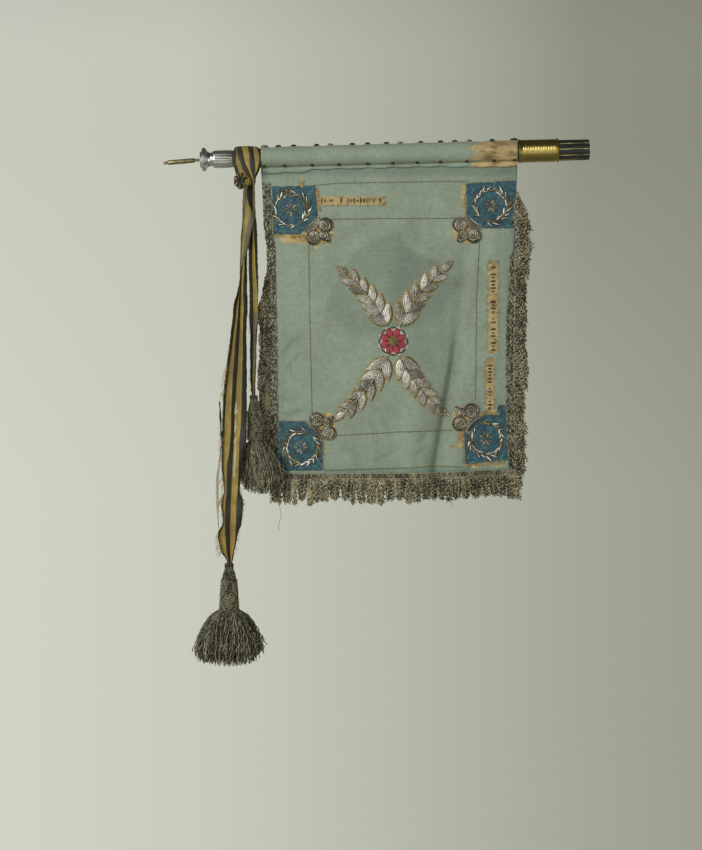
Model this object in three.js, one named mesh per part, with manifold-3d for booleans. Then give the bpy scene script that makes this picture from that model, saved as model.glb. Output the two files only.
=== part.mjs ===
// Regimental standard on the upper end of its staff: one silk sheet wrapped and nailed round the
// pole, with corner patches, raised metal-thread ornaments, fringe and a knotted, tasselled ribbon.
// Millimetres, +Z up. The origin is the middle of the staff's plain end, which is the right end.
// A place on the standard is given as `at`, the distance left of the origin, and `drop`, the
// distance below it. -Y is the side that the front of the cloth faces.
import * as THREE from 'three';
import { mergeVertices } from 'three/addons/utils/BufferGeometryUtils.js';
import Module from 'manifold-3d';

const wasm = await Module();
wasm.setup();

// Driving dimensions
const GAP = 0.3;
const STAFF = { length: 692, endRadius: 20.4, tipRadius: 19.2, tilt: THREE.MathUtils.degToRad(1.5) };
const FLUTES = { count: 10, depth: 1.1, facets: 4, from: 0, to: 692, above: 1 };
const TENON = { radius: 11, length: 24, clearance: 0.6 };
const COLLAR = { from: 61, to: 138.5, rim: 23.7, body: 22.5, bore: 20.9, rimWidth: 4 };
const SOCKET_REEDS = { count: 12, depth: 0.8, from: 700, to: 736, above: 13 };
const TANG = { face: 762.4, depth: 3, hole: 3.5, droop: THREE.MathUtils.degToRad(3.5) };
const CLOTH = {
  left: 642.5,
  right: 141,
  thickness: 1.4,
  clearance: 1.55,
  face: -5.6,
  columns: 21,
  panelRows: 17,
  wrapRows: 14,
  bend: 2.6,
};
const WRAP = { from: -98, to: 248, nails: 233 };
const RIBBON = { width: 58, thickness: 1, pleats: 2 };
const PATCH = { thickness: 1, lift: 0.5 };
const HEADING = { thickness: 2.8, lift: 0.5 };
const LOCK = { rootRadius: 1.3 };
const RELIEF = { lift: 0.7, creasedLift: 1.5, leaf: 2.6 };

// Nails, by their distance from the staff's end
const TOP_NAILS = [147, 190, 235, 263, 291, 330, 370, 397, 434, 464, 507, 534, 579, 609, 636];
const LOW_NAILS = [147, 187, 240, 292, 337, 385, 434, 490, 543, 596, 636];
const NAIL = { radius: 5, height: 3.4, sides: 8 };
const WIDE_NAIL = { radius: 7, height: 3.6, sides: 8 };

// The hanging edges of the cloth
const LEFT_EDGE = [
  { drop: 38, at: 642.5 },
  { drop: 150, at: 637 },
  { drop: 190, at: 631 },
  { drop: 350, at: 629.5 },
  { drop: 645, at: 625 },
];
const RIGHT_EDGE = [
  { drop: 26, at: 141 },
  { drop: 154, at: 143.5 },
  { drop: 206, at: 147 },
  { drop: 500, at: 149 },
  { drop: 636, at: 145 },
];
const BOTTOM_EDGE = [
  { at: 141, drop: 635 },
  { at: 330, drop: 643 },
  { at: 643, drop: 645 },
];

// Soft folds: a line that runs from `at` to `toAt`, reached at `toDrop`. A fold starts at the drop
// `from`, is whole from `full` to `until` and has died out at `gone`. Depth is away from -Y.
const FOLDS = [
  { name: 'crease', at: 245, toAt: 304, toDrop: 555, from: 373, full: 520, until: 700, gone: 720, half: 27, depth: 9 },
  { name: 'beside', at: 210, toAt: 262, toDrop: 555, from: 390, full: 560, until: 700, gone: 720, half: 38, depth: -6 },
  { name: 'inner', at: 300, toAt: 350, toDrop: 555, from: 410, full: 570, until: 700, gone: 720, half: 38, depth: -4 },
  { name: 'belly', at: 410, toAt: 410, toDrop: 600, from: 90, full: 330, until: 460, gone: 640, half: 165, depth: -8 },
  { name: 'tassel', at: 645, toAt: 645, toDrop: 600, from: 280, full: 500, until: 700, gone: 720, half: 105, depth: 15 },
  { name: 'right', at: 140, toAt: 140, toDrop: 600, from: 110, full: 380, until: 700, gone: 720, half: 70, depth: 5 },
  { name: 'upper', at: 258, toAt: 250, toDrop: 400, from: 110, full: 210, until: 300, gone: 400, half: 30, depth: 2.5 },
  { name: 'lower', at: 470, toAt: 480, toDrop: 600, from: 420, full: 610, until: 700, gone: 720, half: 62, depth: -4 },
];

// The free edge of the wrapped cloth below the lower nails
const FLAP = { least: 3.6, sag: 3.6, lean: 1.1 };
const FLAP_ENDS = [
  { at: 141, more: 4 },
  { at: 240, more: 3 },
  { at: 300, more: 0 },
  { at: 540, more: 0 },
  { at: 562, more: 5 },
  { at: 643, more: 6 },
];

// Corner patches, each by the four corners of its cut and the corner that is cut off at a slant
const PATCHES = [
  {
    name: 'patch_upper_left',
    corners: [[621.5, 73], [536, 71], [528, 167], [619, 166]],
    slant: { at: 545.5, drop: 144.5, towards: [0.72, -0.69] },
  },
  {
    name: 'patch_upper_right',
    corners: [[241.5, 67], [144.2, 62], [146.5, 154], [242, 156]],
    slant: { at: 225.5, drop: 139, towards: [-0.62, -0.78] },
  },
  {
    name: 'patch_lower_left',
    corners: [[607.5, 531], [520, 533], [521.5, 628], [607, 629]],
    slant: { at: 536.5, drop: 556, towards: [0.78, 0.62] },
  },
  {
    name: 'patch_lower_right',
    corners: [[246.5, 521], [164.5, 519], [160, 608], [243, 617]],
    slant: { at: 228, drop: 539, towards: [-0.72, 0.69] },
  },
];

// Three-lobed ornaments, pointing away from their patches
const PALMETTES = [
  { name: 'palmette_upper_left', at: 527.5, drop: 161.5, towards: [-0.72, 0.69], lift: RELIEF.lift },
  { name: 'palmette_upper_right', at: 240.5, drop: 159.5, towards: [0.62, 0.78], lift: RELIEF.lift },
  { name: 'palmette_lower_left', at: 521, drop: 541.5, towards: [-0.74, -0.67], lift: RELIEF.lift },
  { name: 'palmette_lower_right', at: 243.5, drop: 523.5, towards: [0.72, -0.69], lift: RELIEF.creasedLift },
];
const LOBES = [
  { along: -2, across: -18, radius: 12 },
  { along: 9, across: 0, radius: 12.5 },
  { along: -2, across: 18, radius: 12 },
];
const LOBE = { crown: 0.62, height: 2.6, sides: 9 };
const BAND = { along: -13, across: 38, width: 6, height: 1.8 };

// The middle ornament: four leaf sprays round a rosette
const MIDDLE = { at: 384, drop: 376 };
const ROSETTE = { radius: 25, petals: 8, scallop: 3, height: 3.4, boss: 9 };
const SPRAYS = [
  { name: 'spray_upper_left', angle: 112, bend: 26, length: 172, lift: RELIEF.lift },
  { name: 'spray_upper_right', angle: 68, bend: -26, length: 160, lift: RELIEF.lift },
  { name: 'spray_lower_left', angle: 248, bend: -26, length: 160, lift: RELIEF.lift },
  { name: 'spray_lower_right', angle: 292, bend: 26, length: 172, lift: RELIEF.creasedLift },
];
const LEAF = { pairs: 5, length: 46, width: 19, lean: 36, rooted: 4 };

// Fringe: the heading's inner and outer line, and its locks
const LEFT_HEADING = [
  { drop: 67, inner: 624, outer: 639.5 },
  { drop: 150, inner: 622.5, outer: 637.5 },
  { drop: 190, inner: 615.5, outer: 632 },
  { drop: 350, inner: 612, outer: 630 },
  { drop: 633, inner: 608.5, outer: 626 },
];
const RIGHT_HEADING = [
  { drop: 86, inner: 143, outer: 138 },
  { drop: 156, inner: 143.5, outer: 137.5 },
  { drop: 206, inner: 153, outer: 141 },
  { drop: 350, inner: 162.5, outer: 145 },
  { drop: 500, inner: 162.5, outer: 146 },
  { drop: 623, inner: 158, outer: 143 },
];
const BOTTOM_HEADING = { height: 10.5, overhang: 1.5, from: 624.5, to: 146.5 };
const LEFT_LOCKS = { count: 30, from: 262, to: 622, out: 15, down: 46, radius: 2 };
const RIGHT_LOCKS = { count: 38, from: 96, to: 616, out: 25, down: 38, radius: 2.6 };
const BOTTOM_LOCKS = { count: 64, down: 47, radius: 2.6 };

// The ribbon's two ends, with the place of both selvedges and of the middle in depth
const LONG_END = [
  { drop: 62, left: 676, right: 657, y: -13 },
  { drop: 105, left: 680, right: 664, y: -17 },
  { drop: 146, left: 681.5, right: 657.5, y: -20 },
  { drop: 187, left: 683.5, right: 663.5, y: -20 },
  { drop: 222, left: 684.5, right: 672, y: -20 },
  { drop: 295, left: 691.5, right: 670, y: -20 },
  { drop: 340, left: 699, right: 670.5, y: -22 },
  { drop: 408, left: 708, right: 670.5, y: -26 },
  { drop: 459, left: 716, right: 670.5, y: -31 },
  { drop: 530, left: 725.5, right: 671.5, y: -38 },
  { drop: 589, left: 722, right: 672, y: -43 },
  { drop: 653, left: 719, right: 678, y: -42 },
  { drop: 706, left: 719, right: 680, y: -38 },
  { drop: 751, left: 720, right: 687, y: -32 },
  { drop: 780, left: 716, right: 693, y: -28 },
  { drop: 807.6, left: 708.5, right: 699.5, y: -26 },
];
const SHORT_END = [
  { drop: 62, left: 672, right: 656, y: -9 },
  { drop: 130, left: 667, right: 652, y: -10 },
  { drop: 226, left: 668, right: 650.5, y: -16 },
  { drop: 295, left: 665, right: 650, y: -20 },
  { drop: 353, left: 665, right: 650, y: -20 },
  { drop: 410, left: 663.5, right: 652, y: -19.5 },
  { drop: 480.5, left: 661, right: 653.5, y: -19 },
];
const KNOT = { at: 681, drop: 63, y: -18, size: [12.5, 10, 17] };
const RIBBON_RING = { from: 646.5, to: 697, edge: 22.4, crown: 24.2 };
const GATHER = [
  { below: 0, at: 671.5, halfAcross: 24, halfDeep: 23, y: 0 },
  { below: 12, at: 671.5, halfAcross: 24, halfDeep: 22.5, y: -1 },
  { below: 24, at: 668.5, halfAcross: 20, halfDeep: 19, y: -4 },
  { below: 38, at: 666.5, halfAcross: 13.5, halfDeep: 13, y: -9 },
  { below: 54, at: 666, halfAcross: 10.5, halfDeep: 9, y: -13 },
];

// Tassels: the head's outline from its top, then the gathered top of the skirt
const TASSEL_OUTLINE = [
  { radius: 6.5, down: 0 },
  { radius: 8.6, down: 3 },
  { radius: 8.6, down: 8 },
  { radius: 7.4, down: 10 },
  { radius: 16.6, down: 33 },
  { radius: 17.4, down: 37 },
  { radius: 19.8, down: 92 },
  { radius: 27, down: 95 },
  { radius: 40, down: 107 },
  { radius: 45, down: 122 },
  { radius: 34, down: 136 },
];
const TASSEL_RINGS = [
  { locks: 22, root: 33, rootDown: 108, bulge: 64, bulgeDown: 118, tip: 60, tipDown: 180 },
  { locks: 13, root: 28, rootDown: 128, bulge: 44, bulgeDown: 146, tip: 38, tipDown: 192 },
  { locks: 5, root: 12, rootDown: 130, bulge: 18, bulgeDown: 160, tip: 15, tipDown: 194 },
];
const TASSELS = [
  {
    name: 'tassel_long',
    at: 704,
    drop: 808,
    y: -26,
    head: 1,
    skirt: 1,
    height: 1,
    deep: 0.75,
    drift: 0,
    radius: 3.6,
  },
  {
    name: 'tassel_short',
    at: 657,
    drop: 480.9,
    y: -19,
    head: 0.8,
    skirt: 0.57,
    height: 0.92,
    deep: 0.48,
    drift: 14,
    radius: 2.8,
  },
];

// Materials
function finish(color, roughness, metalness) {
  return new THREE.MeshStandardMaterial({ color, roughness, metalness });
}

const silk = () => finish('#899a88', 0.75, 0);
const blueSilk = () => finish('#2c5571', 0.7, 0);
const ribbonSilk = () => finish('#8d7a3f', 0.7, 0);
const fringeThread = () => finish('#5f5b44', 0.6, 0.35);
const tasselThread = () => finish('#47473a', 0.6, 0.35);
const silverThread = () => finish('#a9a596', 0.4, 0.7);
const redSilk = () => finish('#8f3a41', 0.65, 0);
const blackWood = () => finish('#2b2a24', 0.35, 0);
const silverPlate = () => finish('#c9c9c6', 0.22, 1);
const turnedBrass = () => finish('#b99b45', 0.28, 1);
const oldBrass = () => finish('#7a6443', 0.5, 0.9);

// Solids
function signedVolume(geometry) {
  const spots = geometry.attributes.position;
  const faces = geometry.index.array;
  const a = new THREE.Vector3();
  const b = new THREE.Vector3();
  const c = new THREE.Vector3();
  let volume = 0;
  for (let i = 0; i < faces.length; i += 3) {
    a.fromBufferAttribute(spots, faces[i]);
    b.fromBufferAttribute(spots, faces[i + 1]);
    c.fromBufferAttribute(spots, faces[i + 2]);
    volume += a.dot(b.cross(c)) / 6;
  }
  return volume;
}

// Merges what touches, drops faces with no area and turns the faces outwards.
function closed(geometry) {
  const bare = new THREE.BufferGeometry();
  bare.setAttribute('position', geometry.attributes.position);
  bare.setIndex(geometry.index);
  const merged = mergeVertices(bare, 1e-3);
  const faces = [];
  const old = merged.index.array;
  for (let i = 0; i < old.length; i += 3) {
    const [a, b, c] = [old[i], old[i + 1], old[i + 2]];
    if (a !== b && b !== c && c !== a) faces.push(a, b, c);
  }
  merged.setIndex(faces);
  if (signedVolume(merged) < 0) merged.setIndex(faces.reverse());
  return merged;
}

function solid(geometry) {
  const whole = closed(geometry);
  return new wasm.Manifold(
    new wasm.Mesh({
      numProp: 3,
      vertProperties: new Float32Array(whole.attributes.position.array),
      triVerts: new Uint32Array(whole.index.array),
    }),
  );
}

function fused(geometries) {
  const [first, ...others] = geometries.map(solid);
  return others.reduce((whole, next) => whole.add(next), first);
}

// The outer skin alone, so that what the joins close off inside is filled
function skin(made) {
  return made.decompose().reduce((best, next) => (next.volume() > best.volume() ? next : best));
}

function geometryOf(made) {
  const mesh = made.getMesh();
  const geometry = new THREE.BufferGeometry();
  geometry.setAttribute('position', new THREE.BufferAttribute(mesh.vertProperties, 3));
  geometry.setIndex(new THREE.BufferAttribute(mesh.triVerts, 1));
  return geometry;
}

function piece(name, geometry, material) {
  const mesh = new THREE.Mesh(geometry, material);
  mesh.name = name;
  return mesh;
}

// Moves each point of a geometry to where place() puts it.
function moved(geometry, place) {
  const spots = geometry.attributes.position;
  for (let i = 0; i < spots.count; i += 1) {
    const spot = place(spots.getX(i), spots.getY(i), spots.getZ(i));
    spots.setXYZ(i, spot.x, spot.y, spot.z);
  }
  return geometry;
}

const spotAt = (at, y, drop) => new THREE.Vector3(-at, y, -drop);

// A sheet: place(across, up, through) runs from 0 to 1 across and up, and from -0.5, its back, to 0.5.
function sheet(columns, rows, place) {
  const block = new THREE.BoxGeometry(1, 1, 1, columns, rows, 1);
  return closed(moved(block, (x, y, z) => place(x + 0.5, y + 0.5, z)));
}

// A value of a table at a place between two of its rows
function along(table, key, value, column) {
  let i = 1;
  while (i < table.length - 1 && table[i][key] < value) i += 1;
  const [before, after] = [table[i - 1], table[i]];
  const share = (value - before[key]) / (after[key] - before[key]);
  return THREE.MathUtils.lerp(before[column], after[column], THREE.MathUtils.clamp(share, 0, 1));
}

// An even-handed unevenness from -1 to 1 for the nth of many like things
function uneven(n, kind) {
  const value = Math.sin(n * 12.9898 + kind * 78.233) * 43758.5453;
  return 2 * (value - Math.floor(value)) - 1;
}

const axisDrop = (at) => at * Math.tan(STAFF.tilt);
const staffRadius = (at) => THREE.MathUtils.lerp(STAFF.endRadius, STAFF.tipRadius, at / STAFF.length);

// Staff and metal fittings, made along the staff's own axis
function turned(profile, segments) {
  const points = profile.map(([radius, at]) => new THREE.Vector2(radius, at));
  return closed(new THREE.LatheGeometry(points, segments).rotateZ(Math.PI / 2));
}

// A regular set of hollows round a turned piece, between two stations and above a radius
function fluted(geometry, { from, to, above, count, depth }, hollow) {
  const slack = 0.5;
  return moved(geometry, (x, y, z) => {
    const radius = Math.hypot(y, z);
    if (-x < from - slack || -x > to + slack || radius < above) return new THREE.Vector3(x, y, z);
    const share = (count * Math.atan2(z, y)) / (2 * Math.PI);
    const shrink = 1 - (depth * hollow(share - Math.floor(share))) / radius;
    return new THREE.Vector3(x, y * shrink, z * shrink);
  });
}

function makeStaff() {
  const sides = FLUTES.count * FLUTES.facets;
  const pole = turned(
    [[0, 0], [STAFF.endRadius, 0], [STAFF.tipRadius, STAFF.length], [0, STAFF.length]],
    sides,
  );
  const hollow = (share) => Math.sin(Math.PI * share);
  const grooved = fluted(pole, FLUTES, hollow);
  const end = STAFF.length + TENON.length;
  const tenon = turned([[0, STAFF.length - 5], [TENON.radius, STAFF.length - 5], [TENON.radius, end], [0, end]], 16);
  return piece('staff', geometryOf(fused([grooved, tenon])), blackWood());
}

function makeCollar() {
  const { from, to, rim, body, bore, rimWidth } = COLLAR;
  const ring = turned(
    [
      [bore, from],
      [rim, from],
      [rim, from + rimWidth],
      [body, from + rimWidth + 0.6],
      [body, to - rimWidth - 0.6],
      [rim, to - rimWidth],
      [rim, to],
      [bore, to],
      [bore, from],
    ],
    24,
  );
  return piece('brass_collar', ring, turnedBrass());
}

function makeSocket() {
  const start = STAFF.length + GAP;
  const bore = TENON.radius + TENON.clearance;
  const boreEnd = STAFF.length + TENON.length + 1;
  const outline = [
    [0, boreEnd],
    [bore, boreEnd],
    [bore, start],
    [16, start],
    [16.8, SOCKET_REEDS.from],
    [17.3, 716],
    [16.6, SOCKET_REEDS.to],
    [15, 737.5],
    [13.4, 741],
    [15, 746],
    [19, 750],
    [23.4, 752],
    [23.4, 758.2],
    [16, 758.6],
    [16, TANG.face],
    [TANG.hole, TANG.face],
    [TANG.hole, TANG.face - TANG.depth],
    [0, TANG.face - TANG.depth],
  ];
  const barrel = turned(outline, SOCKET_REEDS.count * 2);
  const reeded = fluted(barrel, SOCKET_REEDS, (share) => 1 - Math.abs(2 * share - 1));
  return piece('finial_socket', reeded, silverPlate());
}

function makeTang() {
  const outline = [
    [0, 0],
    [2.9, 0],
    [2.9, 12.6],
    [4.5, 14.1],
    [4.7, 39.1],
    [4.1, 65.1],
    [2.2, 68.1],
    [3.1, 71.1],
    [2.6, 74.6],
    [0, 75.5],
  ];
  const rod = piece('finial_tang', turned(outline, 12), oldBrass());
  rod.position.x = -(TANG.face - TANG.depth + GAP);
  rod.rotation.y = -TANG.droop;
  return rod;
}

// Cloth
function foldDepth(at, drop) {
  let depth = 0;
  for (const fold of FOLDS) {
    const middle = THREE.MathUtils.mapLinear(
      THREE.MathUtils.clamp(drop, fold.from, fold.toDrop),
      fold.from,
      fold.toDrop,
      fold.at,
      fold.toAt,
    );
    const away = Math.min(1, Math.abs(at - middle) / fold.half);
    const started = THREE.MathUtils.smoothstep(drop, fold.from, fold.full);
    const left = 1 - THREE.MathUtils.smoothstep(drop, fold.until, fold.gone);
    depth += fold.depth * started * left * Math.cos((away * Math.PI) / 2) ** 2;
  }
  return depth;
}

function flapLength(at) {
  let i = 1;
  while (i < LOW_NAILS.length - 1 && LOW_NAILS[i] < at) i += 1;
  const share = THREE.MathUtils.clamp((at - LOW_NAILS[i - 1]) / (LOW_NAILS[i] - LOW_NAILS[i - 1]), 0, 1);
  return FLAP.least + FLAP.sag * Math.sin(Math.PI * share) + along(FLAP_ENDS, 'at', at, 'more');
}

// One line of the cloth from the bottom edge up, round the staff and down to the free edge
function clothLine(across) {
  const top = THREE.MathUtils.lerp(CLOTH.left, CLOTH.right, across);
  const axis = axisDrop(top);
  const radius = staffRadius(top) + CLOTH.clearance;
  const bendTop = radius + 0.4;
  const panelTop = axis + bendTop + CLOTH.bend;
  const line = [];
  for (let row = 0; row <= CLOTH.panelRows; row += 1) {
    const share = 1 - row / CLOTH.panelRows;
    const drop = THREE.MathUtils.lerp(panelTop, along(BOTTOM_EDGE, 'at', top, 'drop'), share);
    const left = along(LEFT_EDGE, 'drop', drop, 'at');
    const right = along(RIGHT_EDGE, 'drop', drop, 'at');
    const at = THREE.MathUtils.lerp(left, right, across);
    line.push({ at, y: CLOTH.face + foldDepth(at, drop), drop });
  }
  for (const turn of [45, 90]) {
    const angle = THREE.MathUtils.degToRad(180 - turn);
    const y = CLOTH.face + CLOTH.bend + CLOTH.bend * Math.cos(angle);
    line.push({ at: top, y, drop: panelTop - CLOTH.bend * Math.sin(angle) });
  }
  for (let row = 1; row <= CLOTH.wrapRows; row += 1) {
    const angle = THREE.MathUtils.degToRad(THREE.MathUtils.lerp(WRAP.from, WRAP.to, row / CLOTH.wrapRows));
    line.push({ at: top, y: radius * Math.cos(angle), drop: axis - radius * Math.sin(angle) });
  }
  const nailed = line[line.length - 1];
  const length = flapLength(top);
  line.push({ at: top, y: nailed.y - FLAP.lean * 0.7, drop: nailed.drop + length * 0.5 });
  line.push({ at: top, y: nailed.y - FLAP.lean, drop: nailed.drop + length });
  return line;
}

function makeCloth() {
  const lines = Array.from({ length: CLOTH.columns + 1 }, (_, i) => clothLine(i / CLOTH.columns));
  const rows = lines[0].length - 1;
  const geometry = sheet(CLOTH.columns, rows, (across, up, through) => {
    const line = lines[Math.round(across * CLOTH.columns)];
    const row = Math.round(up * rows);
    const [before, here, after] = [line[Math.max(row - 1, 0)], line[row], line[Math.min(row + 1, rows)]];
    const slope = new THREE.Vector2(after.y - before.y, before.drop - after.drop).normalize();
    const offset = through * CLOTH.thickness;
    return spotAt(here.at, here.y - slope.y * offset, here.drop - slope.x * offset);
  });
  return piece('cloth', geometry, silk());
}

// Where a line of sight from the front, or from another side, first meets a piece
const sight = new THREE.Raycaster();

function firstHit(mesh, from, towards) {
  sight.set(from, towards);
  return sight.intersectObject(mesh)[0];
}

function frontOf(mesh, at, drop) {
  const low = along(BOTTOM_EDGE, 'at', at, 'drop') - 1;
  const height = THREE.MathUtils.clamp(drop, 50, low);
  const right = along(RIGHT_EDGE, 'drop', height, 'at') + 0.5;
  const left = along(LEFT_EDGE, 'drop', height, 'at') - 0.5;
  const from = spotAt(THREE.MathUtils.clamp(at, right, left), -200, height);
  return firstHit(mesh, from, new THREE.Vector3(0, 1, 0)).point.y;
}

function makeNails(cloth) {
  const rows = [
    { prefix: 'nail_top_', stations: TOP_NAILS, angle: 90, endNail: WIDE_NAIL },
    { prefix: 'nail_low_', stations: LOW_NAILS, angle: WRAP.nails, endNail: NAIL },
  ];
  return rows.flatMap(({ prefix, stations, angle, endNail }) =>
    stations.map((at, i) => {
      const atEnd = i === 0 || i === stations.length - 1;
      const { radius, height, sides } = atEnd ? endNail : NAIL;
      const outline = [[0, 0], [radius, 0], [radius * 0.72, height * 0.72], [0, height]];
      const points = outline.map(([r, h]) => new THREE.Vector2(r, h));
      const name = prefix + String(i + 1).padStart(2, '0');
      const nail = piece(name, closed(new THREE.LatheGeometry(points, sides)), oldBrass());
      const turn = THREE.MathUtils.degToRad(angle);
      const outward = new THREE.Vector3(0, Math.cos(turn), Math.sin(turn));
      const middle = spotAt(at, 0, axisDrop(at));
      const start = middle.clone().addScaledVector(outward, 100);
      const hit = firstHit(cloth, start, outward.clone().negate());
      const facing = hit.face.normal.clone();
      nail.quaternion.setFromUnitVectors(new THREE.Vector3(0, 1, 0), facing);
      nail.position.copy(hit.point).addScaledVector(facing, GAP + radius ** 2 / (2 * STAFF.endRadius) / 3);
      return nail;
    }),
  );
}

// A flat sewn-on piece: its outline runs over the cloth's own face.
function applied(cloth, columns, rows, spread, lift, thickness) {
  return sheet(columns, rows, (across, up, through) => {
    const { at, drop } = spread(across, up);
    const y = frontOf(cloth, at, drop) - lift - thickness * (through + 0.5);
    return spotAt(at, y, drop);
  });
}

function makePatch(cloth, { name, corners, slant }) {
  const [topLeft, topRight, lowRight, lowLeft] = corners;
  const blend = (across, up, i) => {
    const upper = THREE.MathUtils.lerp(topLeft[i], topRight[i], across);
    return THREE.MathUtils.lerp(THREE.MathUtils.lerp(lowLeft[i], lowRight[i], across), upper, up);
  };
  const spread = (across, up) => ({ at: blend(across, up, 0), drop: blend(across, up, 1) });
  const whole = applied(cloth, 5, 5, spread, PATCH.lift, PATCH.thickness);
  const size = 120;
  const [inAt, inDrop] = slant.towards;
  const cutter = new THREE.BoxGeometry(size, size, size);
  cutter.translate(size / 2, 0, 0);
  cutter.rotateY(-Math.atan2(inDrop, inAt));
  const middle = spotAt(slant.at, 0, slant.drop);
  cutter.translate(middle.x, middle.y, middle.z);
  return piece(name, geometryOf(solid(whole).subtract(solid(cutter))), blueSilk());
}

// Lays a flat relief on the cloth: its x runs along a direction, its y across, its z outwards.
function laid(cloth, geometry, centre, [alongAt, alongDrop], lift) {
  return moved(geometry, (x, y, z) => {
    const at = centre.at + x * alongAt - y * alongDrop;
    const drop = centre.drop + x * alongDrop + y * alongAt;
    return spotAt(at, frontOf(cloth, at, drop) - lift - z, drop);
  });
}

function makePalmette(cloth, spec) {
  const lobes = LOBES.map(({ along: x, across: y, radius }) =>
    new THREE.CylinderGeometry(radius * LOBE.crown, radius, LOBE.height, LOBE.sides)
      .rotateX(Math.PI / 2)
      .translate(x, y, LOBE.height / 2),
  );
  const band = new THREE.BoxGeometry(BAND.width, BAND.across, BAND.height);
  band.translate(BAND.along, 0, BAND.height / 2);
  const flat = geometryOf(fused([band, ...lobes]));
  return piece(spec.name, closed(laid(cloth, flat, spec, spec.towards, spec.lift)), silverThread());
}

// A pointed leaf with a raised middle, along x, with its root a little behind the origin
function leaf(length, width, height) {
  return new THREE.ConeGeometry(1, height, 4)
    .rotateX(Math.PI / 2)
    .scale(width / 2, length / 2, 1)
    .rotateZ(-Math.PI / 2)
    .translate(length / 2 - LEAF.rooted, 0, height / 2);
}

function makeSpray(cloth, spec) {
  const parts = [];
  const heading = THREE.MathUtils.degToRad(spec.angle);
  const bend = THREE.MathUtils.degToRad(spec.bend);
  const start = ROSETTE.radius + ROSETTE.scallop + 2;
  const stem = (share) => {
    const turn = heading + (bend * share) / 2;
    const reach = start + (spec.length - start) * share;
    return new THREE.Vector3(Math.cos(turn) * reach, Math.sin(turn) * reach, 0);
  };
  for (let i = 0; i <= LEAF.pairs; i += 1) {
    const share = (i + 0.4) / (LEAF.pairs + 0.4);
    const root = stem(share);
    const ahead = stem(share + 0.02).sub(root);
    const direction = Math.atan2(ahead.y, ahead.x);
    const size = 1 - 0.35 * share;
    const sides = i === LEAF.pairs ? [0] : [-1, 1];
    for (const side of sides) {
      const lean = direction + side * THREE.MathUtils.degToRad(LEAF.lean);
      const blade = leaf(LEAF.length * size, LEAF.width * size, RELIEF.leaf);
      parts.push(blade.rotateZ(lean).translate(root.x, root.y, 0));
    }
  }
  const points = [0, 0.35, 0.7, 1].map(stem).map((spot) => spot.setZ(0.9));
  const path = new THREE.CatmullRomCurve3(points);
  const section = new THREE.Shape([
    new THREE.Vector2(-0.9, -1.4),
    new THREE.Vector2(0.9, -1.4),
    new THREE.Vector2(0.9, 1.4),
    new THREE.Vector2(-0.9, 1.4),
  ]);
  parts.push(new THREE.ExtrudeGeometry(section, { extrudePath: path, steps: 4, bevelEnabled: false }));
  const flat = geometryOf(fused(parts));
  return piece(spec.name, closed(laid(cloth, flat, MIDDLE, [-1, 0], spec.lift)), silverThread());
}

function makeRosette(cloth) {
  const { radius, petals, scallop, height, boss } = ROSETTE;
  const disc = new THREE.CylinderGeometry(radius, radius, height, petals * 4).rotateX(Math.PI / 2);
  moved(disc, (x, y, z) => {
    const ripple = 1 + (scallop / radius) * Math.abs(Math.sin((Math.atan2(y, x) * petals) / 2));
    return new THREE.Vector3(x * ripple, y * ripple, z + height / 2);
  });
  const centre = new THREE.SphereGeometry(boss, 10, 6).scale(1, 1, 0.4).translate(0, 0, height);
  const flat = geometryOf(fused([disc, centre]));
  return piece('rosette', closed(laid(cloth, flat, MIDDLE, [-1, 0], RELIEF.lift)), redSilk());
}

// A three-sided lock of threads that widens from its root to its tip
function lock(root, middle, tip, radius, steps) {
  const path = new THREE.QuadraticBezierCurve3(root, middle, tip);
  const prism = new THREE.CylinderGeometry(LOCK.rootRadius, radius, 1, 3, steps);
  return moved(prism, (x, y, z) => {
    const spot = path.getPoint(0.5 - y);
    return new THREE.Vector3(spot.x + x, spot.y + z, spot.z);
  });
}

// Fringe
function sideFringe(cloth, name, heading, locks, outward, columns) {
  const last = heading[heading.length - 1].drop;
  const spread = (across, up) => {
    const drop = THREE.MathUtils.lerp(last, heading[0].drop, up);
    const inner = along(heading, 'drop', drop, 'inner');
    const outer = along(heading, 'drop', drop, 'outer');
    const share = outward > 0 ? 1 - across : across;
    return { at: THREE.MathUtils.lerp(inner, outer, share), drop };
  };
  const parts = [applied(cloth, columns, 20, spread, HEADING.lift, HEADING.thickness)];
  for (let i = 0; i < locks.count; i += 1) {
    const drop = THREE.MathUtils.lerp(locks.from, locks.to, i / (locks.count - 1));
    const outer = along(heading, 'drop', drop, 'outer') - outward * 1.6;
    const y = frontOf(cloth, outer, drop) - HEADING.lift - HEADING.thickness / 2;
    const clump = Math.sin(i * 0.85);
    const out = outward * (locks.out * (1 + 0.22 * clump) + uneven(i, 1));
    const down = locks.down * (1 - 0.1 * clump) + 2 * uneven(i, 2);
    const back = 2.4 * (i % 2) - 0.6;
    const root = spotAt(outer, y, drop);
    const middle = spotAt(outer + out * 0.75, y + back, drop + down * 0.35);
    const tip = spotAt(outer + out, y + back, drop + down);
    parts.push(lock(root, middle, tip, locks.radius, 2));
  }
  return piece(name, geometryOf(skin(fused(parts))), fringeThread());
}

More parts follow.
